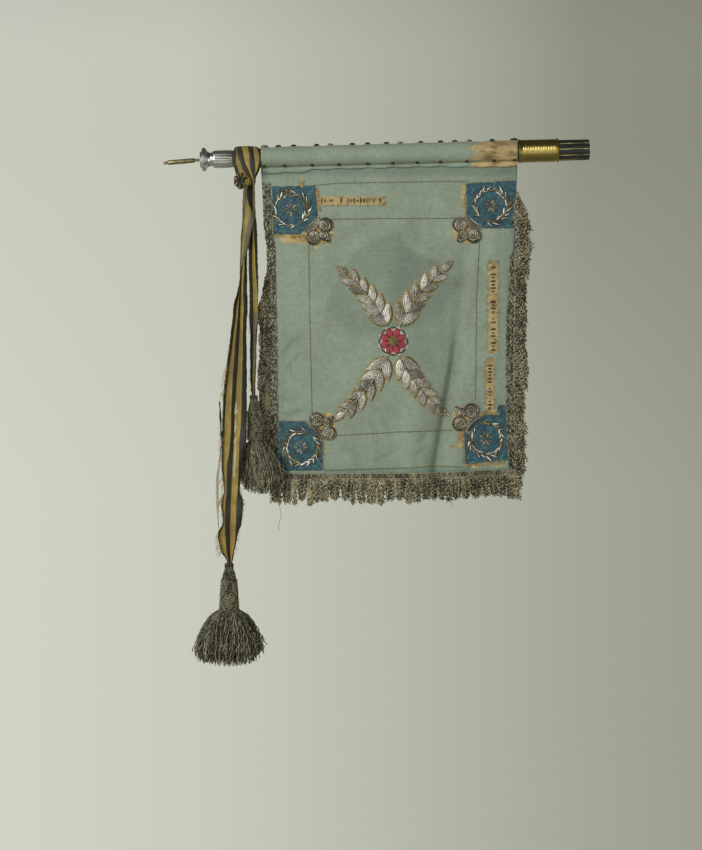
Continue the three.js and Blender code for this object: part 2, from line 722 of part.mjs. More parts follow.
function bottomFringe(cloth) {
  const { height, overhang, from, to } = BOTTOM_HEADING;
  const stops = Array.from({ length: CLOTH.columns + 1 }, (_, i) => clothLine(i / CLOTH.columns)[0].at);
  const columns = [from, ...stops.filter((at) => at < from - 3 && at > to + 3), to];
  const spread = (across, up) => {
    const at = columns[Math.round(across * (columns.length - 1))];
    return { at, drop: along(BOTTOM_EDGE, 'at', at, 'drop') + overhang - height * (1 - up) };
  };
  const upward = (across, up) => spread(across, 1 - up);
  const parts = [applied(cloth, columns.length - 1, 1, upward, HEADING.lift, HEADING.thickness)];
  for (let i = 0; i < BOTTOM_LOCKS.count; i += 1) {
    const at = THREE.MathUtils.lerp(from - 2, to + 2, i / (BOTTOM_LOCKS.count - 1));
    const drop = along(BOTTOM_EDGE, 'at', at, 'drop') + overhang - 1.6;
    const y = frontOf(cloth, at, drop) - HEADING.lift - HEADING.thickness / 2;
    const clump = 2 * Math.sin(i * 0.8) + uneven(i, 3) * 0.5;
    const back = 2.6 * (i % 2) - 0.6;
    const down = BOTTOM_LOCKS.down + 3 * Math.sin(i * 0.8 + 1) + 2.5 * uneven(i, 4);
    const root = spotAt(at, y, drop);
    const middle = spotAt(at + clump * 0.2, y + back, drop + down * 0.4);
    const tip = spotAt(at + clump, y + back, drop + down);
    parts.push(lock(root, middle, tip, BOTTOM_LOCKS.radius, 1));
  }
  return piece('fringe_bottom', geometryOf(skin(fused(parts))), fringeThread());
}

// Ribbon
function ribbonEnd(table, columns, rows) {
  const [first, last] = [table[0].drop, table[table.length - 1].drop];
  return sheet(columns, rows, (across, up, through) => {
    const drop = THREE.MathUtils.lerp(last, first, up);
    const left = along(table, 'drop', drop, 'left');
    const right = along(table, 'drop', drop, 'right');
    const seen = left - right;
    const spare = Math.sqrt(Math.max(0, RIBBON.width ** 2 - seen ** 2));
    const wave = Math.abs(((across * RIBBON.pleats + 0.25) % 1) * 2 - 1) * 2 - 1;
    const depth = (spare / (4 * RIBBON.pleats)) * wave;
    const y = along(table, 'drop', drop, 'y') + depth - through * RIBBON.thickness * 1.5;
    return spotAt(THREE.MathUtils.lerp(left, right, across), y, drop);
  });
}

function ribbonGather() {
  const bundle = new THREE.CylinderGeometry(1, 1, 1, 16, GATHER.length - 1);
  return moved(bundle, (x, y, z) => {
    const row = GATHER[Math.round((0.5 - y) * (GATHER.length - 1))];
    const fold = 1 + 0.07 * Math.sin(8 * Math.atan2(z, x));
    const drop = axisDrop(row.at) + row.below;
    return spotAt(row.at - x * row.halfAcross * fold, row.y + z * row.halfDeep * fold, drop);
  });
}

function ribbonRing() {
  const { from, to, edge, crown } = RIBBON_RING;
  const outline = [[0, from], [edge, from], [crown, from + 9], [crown, to - 16], [edge - 2, to], [0, to]];
  return turned(outline, 16).rotateY(-STAFF.tilt);
}

function makeRibbon() {
  const [deepX, deepY, deepZ] = KNOT.size;
  const crumple = (spot) => 1 + 0.14 * Math.sin(5 * spot.x + 2 * spot.z) * Math.cos(4 * spot.y - 3 * spot.z);
  const knot = moved(closed(new THREE.IcosahedronGeometry(1, 1)), (x, y, z) => {
    const spot = new THREE.Vector3(x, y, z);
    const size = crumple(spot);
    return new THREE.Vector3(x * deepX * size, y * deepY * size, z * deepZ * size);
  });
  knot.translate(-KNOT.at, KNOT.y, -KNOT.drop);
  const whole = fused([
    ribbonRing(),
    ribbonGather(),
    knot,
    ribbonEnd(LONG_END, 8, 14),
    ribbonEnd(SHORT_END, 8, 8),
  ]);
  const bore = STAFF.tipRadius + 0.75;
  const { from, to } = RIBBON_RING;
  const inside = turned([[0, from - 20], [bore, from - 20], [bore, to + 20], [0, to + 20]], 24);
  return piece('ribbon', geometryOf(skin(whole.subtract(solid(inside.rotateY(-STAFF.tilt))))), ribbonSilk());
}

// Tassels
function makeTassel(spec) {
  const place = (radius, turn, down) => {
    const drift = spec.drift * THREE.MathUtils.smoothstep(down, 80, 150);
    const across = Math.cos(turn) * radius;
    const deep = Math.sin(turn) * radius * THREE.MathUtils.lerp(1, spec.deep, Math.min(1, radius / 40));
    return spotAt(spec.at - across - drift, spec.y + deep, spec.drop + down * spec.height);
  };
  const sized = (radius, down) => radius * (down < 93 ? spec.head : spec.skirt);
  const outline = TASSEL_OUTLINE.map(({ radius, down }) => new THREE.Vector2(sized(radius, down), -down));
  const [top, low] = [outline[0].y, outline[outline.length - 1].y];
  const points = [new THREE.Vector2(0, low), ...outline.reverse(), new THREE.Vector2(0, top)];
  const head = moved(closed(new THREE.LatheGeometry(points, 12)), (x, y, z) =>
    place(Math.hypot(x, z), Math.atan2(z, x), -y),
  );
  const parts = [head];
  TASSEL_RINGS.forEach((ring, k) => {
    for (let i = 0; i < ring.locks; i += 1) {
      const turn = ((i + 0.5 * (k % 2)) / ring.locks) * 2 * Math.PI;
      const out = 1 + 0.07 * uneven(i, k + 5);
      const down = ring.tipDown + 7 * uneven(i, k + 8);
      const root = place(ring.root * spec.skirt, turn, ring.rootDown);
      const middle = place(ring.bulge * spec.skirt * out, turn, ring.bulgeDown);
      const tip = place(ring.tip * spec.skirt * out, turn + 0.03 * uneven(i, k + 11), down);
      parts.push(lock(root, middle, tip, spec.radius, 2));
    }
  });
  return piece(spec.name, geometryOf(skin(fused(parts))), tasselThread());
}

const standard = new THREE.Group();

const poleParts = new THREE.Group();
poleParts.rotation.y = -STAFF.tilt;
poleParts.add(makeStaff(), makeCollar(), makeSocket(), makeTang());

const cloth = makeCloth();
standard.add(poleParts, cloth, ...makeNails(cloth));
for (const spec of PATCHES) standard.add(makePatch(cloth, spec));
for (const spec of PALMETTES) standard.add(makePalmette(cloth, spec));
for (const spec of SPRAYS) standard.add(makeSpray(cloth, spec));
standard.add(makeRosette(cloth));
standard.add(sideFringe(cloth, 'fringe_left', LEFT_HEADING, LEFT_LOCKS, 1, 2));
standard.add(sideFringe(cloth, 'fringe_right', RIGHT_HEADING, RIGHT_LOCKS, -1, 2));
standard.add(bottomFringe(cloth));
standard.add(makeRibbon());
for (const spec of TASSELS) standard.add(makeTassel(spec));

export default standard;
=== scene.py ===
import math
import bpy
import numpy as np
from mathutils import Matrix, Vector, noise


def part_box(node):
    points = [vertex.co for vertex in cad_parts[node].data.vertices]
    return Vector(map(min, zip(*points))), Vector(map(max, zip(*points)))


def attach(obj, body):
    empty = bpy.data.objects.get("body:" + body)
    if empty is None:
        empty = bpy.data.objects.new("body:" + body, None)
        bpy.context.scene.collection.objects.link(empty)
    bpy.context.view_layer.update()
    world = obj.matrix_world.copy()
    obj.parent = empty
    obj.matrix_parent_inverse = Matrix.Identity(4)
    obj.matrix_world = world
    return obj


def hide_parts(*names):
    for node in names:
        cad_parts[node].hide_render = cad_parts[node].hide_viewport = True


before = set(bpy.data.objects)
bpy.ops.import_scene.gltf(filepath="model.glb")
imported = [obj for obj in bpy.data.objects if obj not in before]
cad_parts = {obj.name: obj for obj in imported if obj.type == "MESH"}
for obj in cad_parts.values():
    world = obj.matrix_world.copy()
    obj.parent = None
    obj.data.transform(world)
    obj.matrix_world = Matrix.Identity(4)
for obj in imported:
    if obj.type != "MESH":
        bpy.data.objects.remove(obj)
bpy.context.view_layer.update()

# A silk standard nailed to its staff. `at` is millimetres left of the staff's plain end, `drop` is
# millimetres below it, and y is millimetres behind the staff's axis, so the front is at negative y.
scene = bpy.context.scene
scene.view_settings.view_transform = "Standard"


# Places
def spot(at, y, drop):
    at, y, drop = np.broadcast_arrays(np.asarray(at, float), y, drop)
    return np.stack([-at, y, -drop], axis=-1) / 1000


def smooth(value, start, end):
    share = np.clip((value - start) / (end - start), 0, 1)
    return share * share * (3 - 2 * share)


def bell(value, middle, half):
    return np.exp(-(((value - middle) / half) ** 2))


def softCurve(xs, ys, x):
    # a smooth line through a table's rows, with no overshoot to speak of
    xs, ys = np.asarray(xs, float), np.asarray(ys, float)
    slopes = np.gradient(ys, xs)
    i = np.clip(np.searchsorted(xs, x) - 1, 0, len(xs) - 2)
    width = xs[i + 1] - xs[i]
    t = np.clip((x - xs[i]) / width, 0, 1)
    near = (2 * t**3 - 3 * t**2 + 1) * ys[i] + (t**3 - 2 * t**2 + t) * width * slopes[i]
    return near + (3 * t**2 - 2 * t**3) * ys[i + 1] + (t**3 - t**2) * width * slopes[i + 1]


def ripple(points, size, seed=0.0):
    # even noise from -1 to 1 at points in millimetres, with lumps of the given size
    flat = np.reshape(points, (-1, 3)) / size + seed
    return np.array([noise.noise(Vector(p)) for p in flat]).reshape(np.shape(points)[:-1])


# Meshes
def linkNew(name, mesh):
    made = bpy.data.objects.new(name, mesh)
    scene.collection.objects.link(made)
    return made


def addMesh(name, points, faces, material=None):
    mesh = bpy.data.meshes.new(name)
    mesh.from_pydata(np.reshape(points, (-1, 3)).tolist(), [], [[int(i) for i in face] for face in faces])
    if material:
        mesh.materials.append(material)
    mesh.shade_smooth()
    return linkNew(name, mesh)


def gridFaces(rows, columns, joined=False):
    # the squares of a grid of points, row by row; joined closes each row on itself
    r = np.arange(rows - 1)[:, None]
    c = np.arange(columns if joined else columns - 1)[None, :]
    after = (c + 1) % columns
    corners = [r * columns + c, r * columns + after, (r + 1) * columns + after, (r + 1) * columns + c]
    return np.stack([np.broadcast_to(k, (rows - 1, c.shape[1])) for k in corners], -1).reshape(-1, 4)


def roundFaces(rows, segments, flip=False):
    # the faces of a round shape, with one on each of its ends
    ends = [list(range(segments)), list(range((rows - 1) * segments, rows * segments))[::-1]]
    return gridFaces(rows, segments, joined=True).tolist() + [end[::-1] if flip else end for end in ends]


def setAttribute(made, name, values, domain="POINT"):
    values = np.asarray(values, np.float32)
    vector = values.ndim == 2
    layer = made.data.attributes.new(name, "FLOAT_VECTOR" if vector else "FLOAT", domain)
    layer.data.foreach_set("vector" if vector else "value", values.ravel())


def readPoints(made):
    points = np.empty(len(made.data.vertices) * 3)
    made.data.vertices.foreach_get("co", points)
    return points.reshape(-1, 3)


def writePoints(made, points):
    made.data.vertices.foreach_set("co", points.ravel())
    made.data.update()
    return made


def settle(made):
    # bakes the modifiers into a plain mesh
    depsgraph = bpy.context.evaluated_depsgraph_get()
    mesh = bpy.data.meshes.new_from_object(made.evaluated_get(depsgraph), depsgraph=depsgraph)
    old = made.data
    made.modifiers.clear()
    made.data = mesh
    mesh.name = made.name
    bpy.data.meshes.remove(old)
    return made


def thicken(made, millimetres):
    shell = made.modifiers.new("thickness", "SOLIDIFY")
    shell.thickness = millimetres / 1000
    shell.offset = 0
    shell.use_even_offset = False
    return settle(made)


def faceOut(made):
    # turns the faces of a closed shape outwards
    points = readPoints(made)
    made.data.calc_loop_triangles()
    corners = np.array([t.vertices[:] for t in made.data.loop_triangles])
    a, b, c = points[corners[:, 0]], points[corners[:, 1]], points[corners[:, 2]]
    if np.einsum("ij,ij->i", a, np.cross(b, c)).sum() < 0:
        made.data.flip_normals()
    return made


def faceTowardFront(made):
    if made.data.polygons[0].normal.y > 0:
        made.data.flip_normals()
    return made


def joinMeshes(name, parts):
    with bpy.context.temp_override(active_object=parts[0], selected_editable_objects=parts):
        bpy.ops.object.join()
    parts[0].name = parts[0].data.name = name
    return parts[0]


def fit(slot, *parts, replaces=()):
    # every piece rides on the one body, and the CAD nodes that the parts replace are hidden
    if replaces:
        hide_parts(*replaces)
    for part in parts:
        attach(part, "root")

# Nodes
def addNode(tree, kind, inputs=(), **settings):
    # adds a node; an input takes a value, another node's output, or a node for its first output in use
    node = tree.nodes.new(kind)
    for name, value in settings.items():
        setattr(node, name, value)
    for name, value in dict(inputs).items():
        if isinstance(value, bpy.types.Node):
            value = next(socket for socket in value.outputs if socket.enabled)
        if isinstance(value, bpy.types.NodeSocket):
            tree.links.new(value, node.inputs[name])
        else:
            node.inputs[name].default_value = value
    return node


def colour(hexText):
    parts = [int(hexText[i:i + 2], 16) / 255 for i in (1, 3, 5)]
    return [p / 12.92 if p <= 0.04045 else ((p + 0.055) / 1.055) ** 2.4 for p in parts] + [1.0]


def setRamp(node, stops, interpolation="LINEAR"):
    ramp = node.color_ramp
    ramp.interpolation = interpolation
    while len(ramp.elements) < len(stops):
        ramp.elements.new(0.5)
    for element, (place, value) in zip(ramp.elements, stops):
        element.position = place
        element.color = colour(value) if isinstance(value, str) else [value] * 3 + [1.0]
    return node.outputs["Color"]


def startMaterial(name, roughness, metallic=0.0, sheen=0.0):
    # also gives the material's shader and its place in metres, for the patterns to read
    made = bpy.data.materials.new(name)
    made.use_nodes = True
    tree = made.node_tree
    shader = tree.nodes["Principled BSDF"]
    shader.inputs["Roughness"].default_value = roughness
    shader.inputs["Metallic"].default_value = metallic
    if sheen:
        shader.inputs["Sheen Weight"].default_value = sheen
        shader.inputs["Sheen Roughness"].default_value = 0.5
    return made, tree, shader, addNode(tree, "ShaderNodeTexCoord").outputs["Object"]


def setSurface(tree, shader, tone, height, strength, depth):
    # the colour, and a fine relief as deep as the given millimetres
    tree.links.new(tone, shader.inputs["Base Color"])
    bump = addNode(tree, "ShaderNodeBump", {"Strength": strength, "Distance": depth / 1000, "Height": height})
    tree.links.new(bump.outputs[0], shader.inputs["Normal"])


def startTree(name, sockets):
    # a Geometry Nodes tree with one mesh in, one mesh out and named inputs
    tree = bpy.data.node_groups.new(name, "GeometryNodeTree")
    tree.interface.new_socket("Mesh", in_out="INPUT", socket_type="NodeSocketGeometry")
    for label, kind in sockets.items():
        tree.interface.new_socket(label, in_out="INPUT", socket_type="NodeSocket" + kind)
    tree.interface.new_socket("Mesh", in_out="OUTPUT", socket_type="NodeSocketGeometry")
    return tree, addNode(tree, "NodeGroupInput"), addNode(tree, "NodeGroupOutput")


def runTree(made, tree, values):
    # sets each named input by its identifier, then bakes the result
    modifier = made.modifiers.new(tree.name, "NODES")
    modifier.node_group = tree
    names = {item.name: item.identifier for item in tree.interface.items_tree if item.in_out == "INPUT"}
    for label, value in values.items():
        modifier[names[label]] = value
    return settle(made)


def makeThreadTree():
    # a round thread along each path of edges, as thick as the path's own `thick` says
    tree, given, out = startTree("threadsAlongPaths", {"Radius": "Float", "Sides": "Int", "Finish": "Material"})
    sides, radius, finish = (given.outputs[label] for label in ("Sides", "Radius", "Finish"))
    path = addNode(tree, "GeometryNodeMeshToCurve", {"Mesh": given.outputs["Mesh"]})
    thick = addNode(tree, "GeometryNodeInputNamedAttribute", {"Name": "thick"}, data_type="FLOAT")
    ring = addNode(tree, "GeometryNodeCurvePrimitiveCircle", {"Resolution": sides, "Radius": radius})
    tubeInputs = {"Curve": path, "Profile Curve": ring, "Scale": thick, "Fill Caps": True}
    tube = addNode(tree, "GeometryNodeCurveToMesh", tubeInputs)
    whole = addNode(tree, "GeometryNodeRealizeInstances", {"Geometry": tube})
    soft = addNode(tree, "GeometryNodeSetShadeSmooth", {"Geometry": whole})
    dyed = addNode(tree, "GeometryNodeSetMaterial", {"Geometry": soft, "Material": finish})
    tree.links.new(dyed.outputs[0], out.inputs[0])
    return tree


def makeCopyTree():
    # one copy of a small shape on each point, turned and sized as the point says
    tree, given, out = startTree("copiesOnPoints", {"Shape": "Object", "Finish": "Material"})
    shape = addNode(tree, "GeometryNodeObjectInfo", {"Object": given.outputs["Shape"]}).outputs["Geometry"]
    turn, size = (
        addNode(tree, "GeometryNodeInputNamedAttribute", {"Name": label}, data_type="FLOAT_VECTOR")
        for label in ("turn", "size")
    )
    rotation = addNode(tree, "FunctionNodeEulerToRotation", {"Euler": turn})
    placed = {"Points": given.outputs["Mesh"], "Instance": shape, "Rotation": rotation, "Scale": size}
    whole = addNode(
        tree, "GeometryNodeRealizeInstances", {"Geometry": addNode(tree, "GeometryNodeInstanceOnPoints", placed)}
    )
    dyed = addNode(tree, "GeometryNodeSetMaterial", {"Geometry": whole, "Material": given.outputs["Finish"]})
    tree.links.new(dyed.outputs[0], out.inputs[0])
    return tree


threadTree = makeThreadTree()
copyTree = makeCopyTree()


def threads(name, paths, radius, material, shades=0.0, taper=1.0, sides=4):
    # paths: threads x points x 3, in metres; radius in millimetres; one shade a thread or one a point
    paths = np.asarray(paths, float)
    count, length = paths.shape[:2]
    mesh = bpy.data.meshes.new(name)
    starts = (np.arange(count)[:, None] * length + np.arange(length - 1)).ravel()
    mesh.from_pydata(paths.reshape(-1, 3).tolist(), np.stack([starts, starts + 1], -1).tolist(), [])
    made = linkNew(name, mesh)
    shades = np.asarray(shades, float)
    shades = shades[:, None] if shades.ndim == 1 else shades
    setAttribute(made, "thick", np.broadcast_to(taper, (count, length)).ravel())
    setAttribute(made, "shade", np.broadcast_to(shades, (count, length)).ravel())
    setAttribute(made, "along", np.tile(np.linspace(0, 1, length), count))
    return runTree(made, threadTree, {"Radius": radius / 1000, "Sides": sides, "Finish": material})


def copies(name, shape, places, turns, sizes, material, shades=None):
    # places in metres, turns in radians, sizes in metres
    mesh = bpy.data.meshes.new(name)
    mesh.from_pydata(np.reshape(places, (-1, 3)).tolist(), [], [])
    made = linkNew(name, mesh)
    setAttribute(made, "turn", np.reshape(turns, (-1, 3)))
    setAttribute(made, "size", np.reshape(sizes, (-1, 3)))
    setAttribute(made, "shade", np.zeros(len(places)) if shades is None else shades)
    return runTree(made, copyTree, {"Shape": shape, "Finish": material})


# Materials, each from what the real one is; the sizes in them are millimetres
def perMetre(millimetres):
    # a pattern's scale from the width of its lumps
    return 1000 / millimetres


def makeAgedSilk():
    # plain-woven dyed silk, faded and soiled: dull, faintly ribbed, with cream lining where it has worn
    look = {
        "dye": "#8e9c89", "faded": "#97a491", "soiled": "#86907e", "dark": "#56625a", "teal": "#587a74",
        "cream": "#b79f6d", "creamDark": "#8e7442", "creamPale": "#cbb787", "brown": "#5d4425",
        "thread": 0.9,  # between threads, drawn coarser than the real 0.3
        "cloud": 111.11, "slub": 4.762, "tear": 3.846, "blotch": 7.692,
    }
    made, tree, shader, where = startMaterial("agedBlueGreenSilk", 0.75, sheen=0.2)
    shade, teal, worn, stain = (
        addNode(tree, "ShaderNodeAttribute", attribute_name=label).outputs["Fac"]
        for label in ("shade", "teal", "worn", "stain")
    )
    # ribs run across and down, with thicker slubs here and there; worn places tear along the weft
    across, down, short, torn = (
        addNode(tree, "ShaderNodeMapping", {"Vector": where, "Scale": scale})
        for scale in ((0.14, 1.0, 1.0), (1.0, 1.0, 0.2), (0.45, 1.0, 1.0), (0.28, 1.0, 1.0))
    )
    patterns = {  # where it is read, its lumps, detail and roughness
        "cloud": (where, look["cloud"], 6.0, 0.62),
        "weft": (across, 3 * look["thread"], 2.0, 0.5),
        "warp": (down, 3 * look["thread"], 1.0, 0.5),
        "slub": (short, look["slub"], 5.0, 0.5),
        "tear": (torn, look["tear"], 5.0, 0.65),
        "blotch": (torn, look["blotch"], 6.0, 0.75),
    }
    cloud, weft, warp, slub, tear, blotch = (
        addNode(tree, "ShaderNodeTexNoise", {"Vector": at, "Scale": perMetre(wide), "Detail": fine, "Roughness": rough})
        for at, wide, fine, rough in patterns.values()
    )
    dyed = setRamp(
        addNode(tree, "ShaderNodeValToRGB", {"Fac": cloud}),
        [(0.3, look["soiled"]), (0.5, look["dye"]), (0.7, look["faded"])],
    )
    # the shade mask darkens the silk for its stains, edges and hem, and for painted shade and shadow; teal is the dye's
    # own colour
    for mask, tone in ((shade, "dark"), (teal, "teal")):
        dyed = addNode(tree, "ShaderNodeMix", {0: mask, 6: dyed, 7: colour(look[tone])}, data_type="RGBA")
    ribs = addNode(tree, "ShaderNodeMath", {0: weft, 1: warp}, operation="ADD")
    weave = addNode(tree, "ShaderNodeMath", {0: ribs, 1: slub}, operation="ADD")
    weaveRange = {"Value": weave, "From Min": 1.0, "From Max": 2.0, "To Min": 0.84, "To Max": 1.16}
    weaveTone = addNode(tree, "ShaderNodeMapRange", weaveRange)
    woven = addNode(tree, "ShaderNodeMix", {0: 1.0, 6: dyed, 7: weaveTone}, data_type="RGBA", blend_type="MULTIPLY")
    tornMore = addNode(tree, "ShaderNodeMath", {0: tear, 1: 1.3}, operation="MULTIPLY")
    wornSum = addNode(tree, "ShaderNodeMath", {0: worn, 1: tornMore}, operation="ADD")
    wornEdge = addNode(tree, "ShaderNodeMapRange", {"Value": wornSum, "From Min": 1.12, "From Max": 1.2})
    lining = setRamp(
        addNode(tree, "ShaderNodeValToRGB", {"Fac": blotch}),
        [(0.3, look["creamDark"]), (0.5, look["cream"]), (0.7, look["creamPale"])],
    )
    stained = addNode(tree, "ShaderNodeMix", {0: stain, 6: lining, 7: colour(look["brown"])}, data_type="RGBA")
    final = addNode(tree, "ShaderNodeMix", {0: wornEdge, 6: woven, 7: stained}, data_type="RGBA")
    height = addNode(tree, "ShaderNodeMath", {0: weave, 1: wornEdge}, operation="SUBTRACT")
    setSurface(tree, shader, final.outputs[2], height, 0.3, 0.6)
    return made


def makePatchSilk():
    # dark blue silk, closely darned and rubbed, with cream threads along its frayed edges
    look = {
        "dye": "#254e5c", "deep": "#183540", "rubbed": "#407378", "brown": "#6f7052", "fray": "#b5975a",
        "mottle": 11.11, "darn": 1.786, "frayed": 3.03, "slant": -0.6, "stitch": (4, 1, 1),
    }
    made, tree, shader, where = startMaterial("darkBlueSilk", 0.66, sheen=0.15)
    stitches = {"Vector": where, "Rotation": (0, look["slant"], 0), "Scale": look["stitch"]}
    darned = addNode(tree, "ShaderNodeMapping", stitches, vector_type="TEXTURE")
    mottle, darn, grain = (
        addNode(tree, "ShaderNodeTexNoise", {"Vector": at, "Scale": perMetre(wide), "Detail": fine, "Roughness": rough})
        for at, wide, fine, rough in (
            (where, look["mottle"], 7.0, 0.75), (darned, look["darn"], 3.0, 0.5), (where, look["frayed"], 3.0, 0.5)
        )
    )
    both = addNode(tree, "ShaderNodeMath", {0: mottle, 1: darn}, operation="ADD")
    half = addNode(tree, "ShaderNodeMath", {0: both, 1: 0.5}, operation="MULTIPLY")
    dyed = setRamp(
        addNode(tree, "ShaderNodeValToRGB", {"Fac": half}),
        [(0.39, look["deep"]), (0.5, look["dye"]), (0.59, look["rubbed"]), (0.66, look["brown"])],
    )
    edge = addNode(tree, "ShaderNodeAttribute", attribute_name="edge").outputs["Fac"]
    total = addNode(tree, "ShaderNodeMath", {0: edge, 1: grain}, operation="ADD")
    frayed = addNode(tree, "ShaderNodeMapRange", {"Value": total, "From Min": 1.12, "From Max": 1.22})
    final = addNode(tree, "ShaderNodeMix", {0: frayed, 6: dyed, 7: colour(look["fray"])}, data_type="RGBA")
    setSurface(tree, shader, final.outputs[2], both, 0.6, 0.8)
    return made


def makeRibbonSilk():
    # ribbed silk ribbon, its stripes woven in: 0 dark brown, 1 yellow, 2 taupe grey, the back of the turned-over short
    # end and painted sheen on the upper fold's dark stripes, 3 worn pale
    look = {
        "stripes": ["#2f2a21", "#958038", "#777058", "#b9b498"], "streak": 1.613, "cloud": 35.71,
        "rib": 6.667,  # drawn coarser than the real ribs
    }
    made, tree, shader, where = startMaterial("stripedRibbonSilk", 0.62, sheen=0.08)
    stripe, soil = (
        addNode(tree, "ShaderNodeAttribute", attribute_name=label).outputs["Fac"] for label in ("stripe", "soil")
    )
    # the ramp has a quarter for each stripe, and 0.1 keeps every stripe clear of its quarter's edge
    quarter = addNode(tree, "ShaderNodeMath", {0: stripe, 1: 0.25}, operation="MULTIPLY")
    offset = addNode(tree, "ShaderNodeMath", {0: quarter, 1: 0.1}, operation="ADD")
    woven = setRamp(
        addNode(tree, "ShaderNodeValToRGB", {"Fac": offset}),
        list(zip((0.0, 0.225, 0.475, 0.725), look["stripes"])),
        "CONSTANT",
    )
    # faded streaks run the length of the ribbon
    drawnOut = addNode(tree, "ShaderNodeMapping", {"Vector": where, "Scale": (1.0, 1.0, 0.05)})
    streak, cloud = (
        addNode(tree, "ShaderNodeTexNoise", {"Vector": at, "Scale": perMetre(wide), "Detail": fine, "Roughness": rough})
        for at, wide, fine, rough in ((drawnOut, look["streak"], 3.0, 0.7), (where, look["cloud"], 4.0, 0.5))
    )
    both = addNode(tree, "ShaderNodeMath", {0: streak, 1: cloud}, operation="ADD")
    toneRange = {"Value": both, "From Min": 0.75, "From Max": 1.25, "To Min": 0.6, "To Max": 1.36}
    tone = addNode(tree, "ShaderNodeMapRange", toneRange)
    # darker for the painted shade round the staff and where the long end was folded
    soiled = addNode(tree, "ShaderNodeMath", {0: tone, 1: soil}, operation="SUBTRACT")
    final = addNode(tree, "ShaderNodeMix", {0: 1.0, 6: woven, 7: soiled}, data_type="RGBA", blend_type="MULTIPLY")
    ribWave = {"Vector": where, "Scale": perMetre(look["rib"]), "Distortion": 1.5}
    ribs = addNode(tree, "ShaderNodeTexWave", ribWave, bands_direction="Z").outputs["Fac"]
    setSurface(tree, shader, final.outputs[2], ribs, 0.25, 0.4)
    return made


def makeMetalThread(name, dark, middle, bright, roughness, metallic, fleck, core="#5f5a41"):
    # silver-gilt strip wound on silk, dull where tarnished; its bright flecks are painted glints and its darkest tone
    # painted shade between the strips; the flecks are drawn coarser than the real strip
    made, tree, shader, where = startMaterial(name, roughness, metallic)
    shade, rib = (
        addNode(tree, "ShaderNodeAttribute", attribute_name=label).outputs["Fac"] for label in ("shade", "rib")
    )
    flecks, cloud, gap = (
        addNode(tree, "ShaderNodeTexNoise", {"Vector": at, "Scale": perMetre(wide), "Detail": fine, "Roughness": rough})
        for at, wide, fine, rough in ((where, fleck, 3.0, 0.6), (where, 22.22, 2.0, 0.5), (where, 11.765, 3.0, 0.5))
    )
    clouded = addNode(tree, "ShaderNodeMath", {0: cloud, 1: 0.45}, operation="MULTIPLY")
    total = addNode(tree, "ShaderNodeMath", {0: flecks, 1: shade}, operation="ADD")
    both = addNode(tree, "ShaderNodeMath", {0: total, 1: clouded}, operation="ADD")
    # painted shade: rib darkens the grooves between a leaf's laid threads
    grooved = addNode(tree, "ShaderNodeMath", {0: both, 1: rib}, operation="SUBTRACT")
    tone = setRamp(
        addNode(tree, "ShaderNodeValToRGB", {"Fac": grooved}), [(0.42, dark), (0.7, middle), (0.96, bright)]
    )
    # browner where the silk core shows
    shown = addNode(tree, "ShaderNodeMapRange", {"Value": gap, "From Min": 0.5, "From Max": 0.75, "To Max": 0.5})
    final = addNode(tree, "ShaderNodeMix", {0: shown, 6: tone, 7: colour(core)}, data_type="RGBA")
    setSurface(tree, shader, final.outputs[2], flecks, 0.5, 0.4)
    return made


def makeMottled(name, dark, light, roughness, grain, metallic=0.0, depth=0.3, stretch=(1, 1, 1)):
    # a plain finish with its own uneven tone and a fine surface; grain and depth are millimetres
    made, tree, shader, where = startMaterial(name, roughness, metallic)
    turned = addNode(tree, "ShaderNodeMapping", {"Vector": where, "Scale": stretch})
    lumps = {"Vector": turned, "Scale": perMetre(grain), "Detail": 5.0, "Roughness": 0.6}
    grains = addNode(tree, "ShaderNodeTexNoise", lumps)
    tone = setRamp(addNode(tree, "ShaderNodeValToRGB", {"Fac": grains}), [(0.32, dark), (0.68, light)])
    rubbed = {"Value": grains, "To Min": roughness * 0.7, "To Max": min(1.0, roughness * 1.35)}
    tree.links.new(addNode(tree, "ShaderNodeMapRange", rubbed).outputs[0], shader.inputs["Roughness"])
    setSurface(tree, shader, tone, grains, 0.3, depth)
    return made


def makeLacquer():
    # black lacquered wood with thin worn gilding in the hollows between the flutes
    look = {"black": "#17191a", "rubbed": "#33352f", "gilt": "#b3a473", "wear": 3.846}
    made, tree, shader, where = startMaterial("blackLacquerAndGilt", 0.3)
    groove = addNode(tree, "ShaderNodeAttribute", attribute_name="groove").outputs["Fac"]
    alongStaff = addNode(tree, "ShaderNodeMapping", {"Vector": where, "Scale": (0.15, 1.0, 1.0)})
    lumps = {"Vector": alongStaff, "Scale": perMetre(look["wear"]), "Detail": 5.0, "Roughness": 0.65}
    wear = addNode(tree, "ShaderNodeTexNoise", lumps)
    total = addNode(tree, "ShaderNodeMath", {0: groove, 1: wear}, operation="ADD")
    gilt = addNode(tree, "ShaderNodeMapRange", {"Value": total, "From Min": 1.3, "From Max": 1.52})
    tone = setRamp(
        addNode(tree, "ShaderNodeValToRGB", {"Fac": wear}), [(0.3, look["black"]), (0.7, look["rubbed"])]
    )
    final = addNode(tree, "ShaderNodeMix", {0: gilt, 6: tone, 7: colour(look["gilt"])}, data_type="RGBA")
    tree.links.new(final.outputs[2], shader.inputs["Base Color"])
    return made


agedSilk = makeAgedSilk()
patchSilk = makePatchSilk()
ribbonSilk = makeRibbonSilk()
lacquer = makeLacquer()
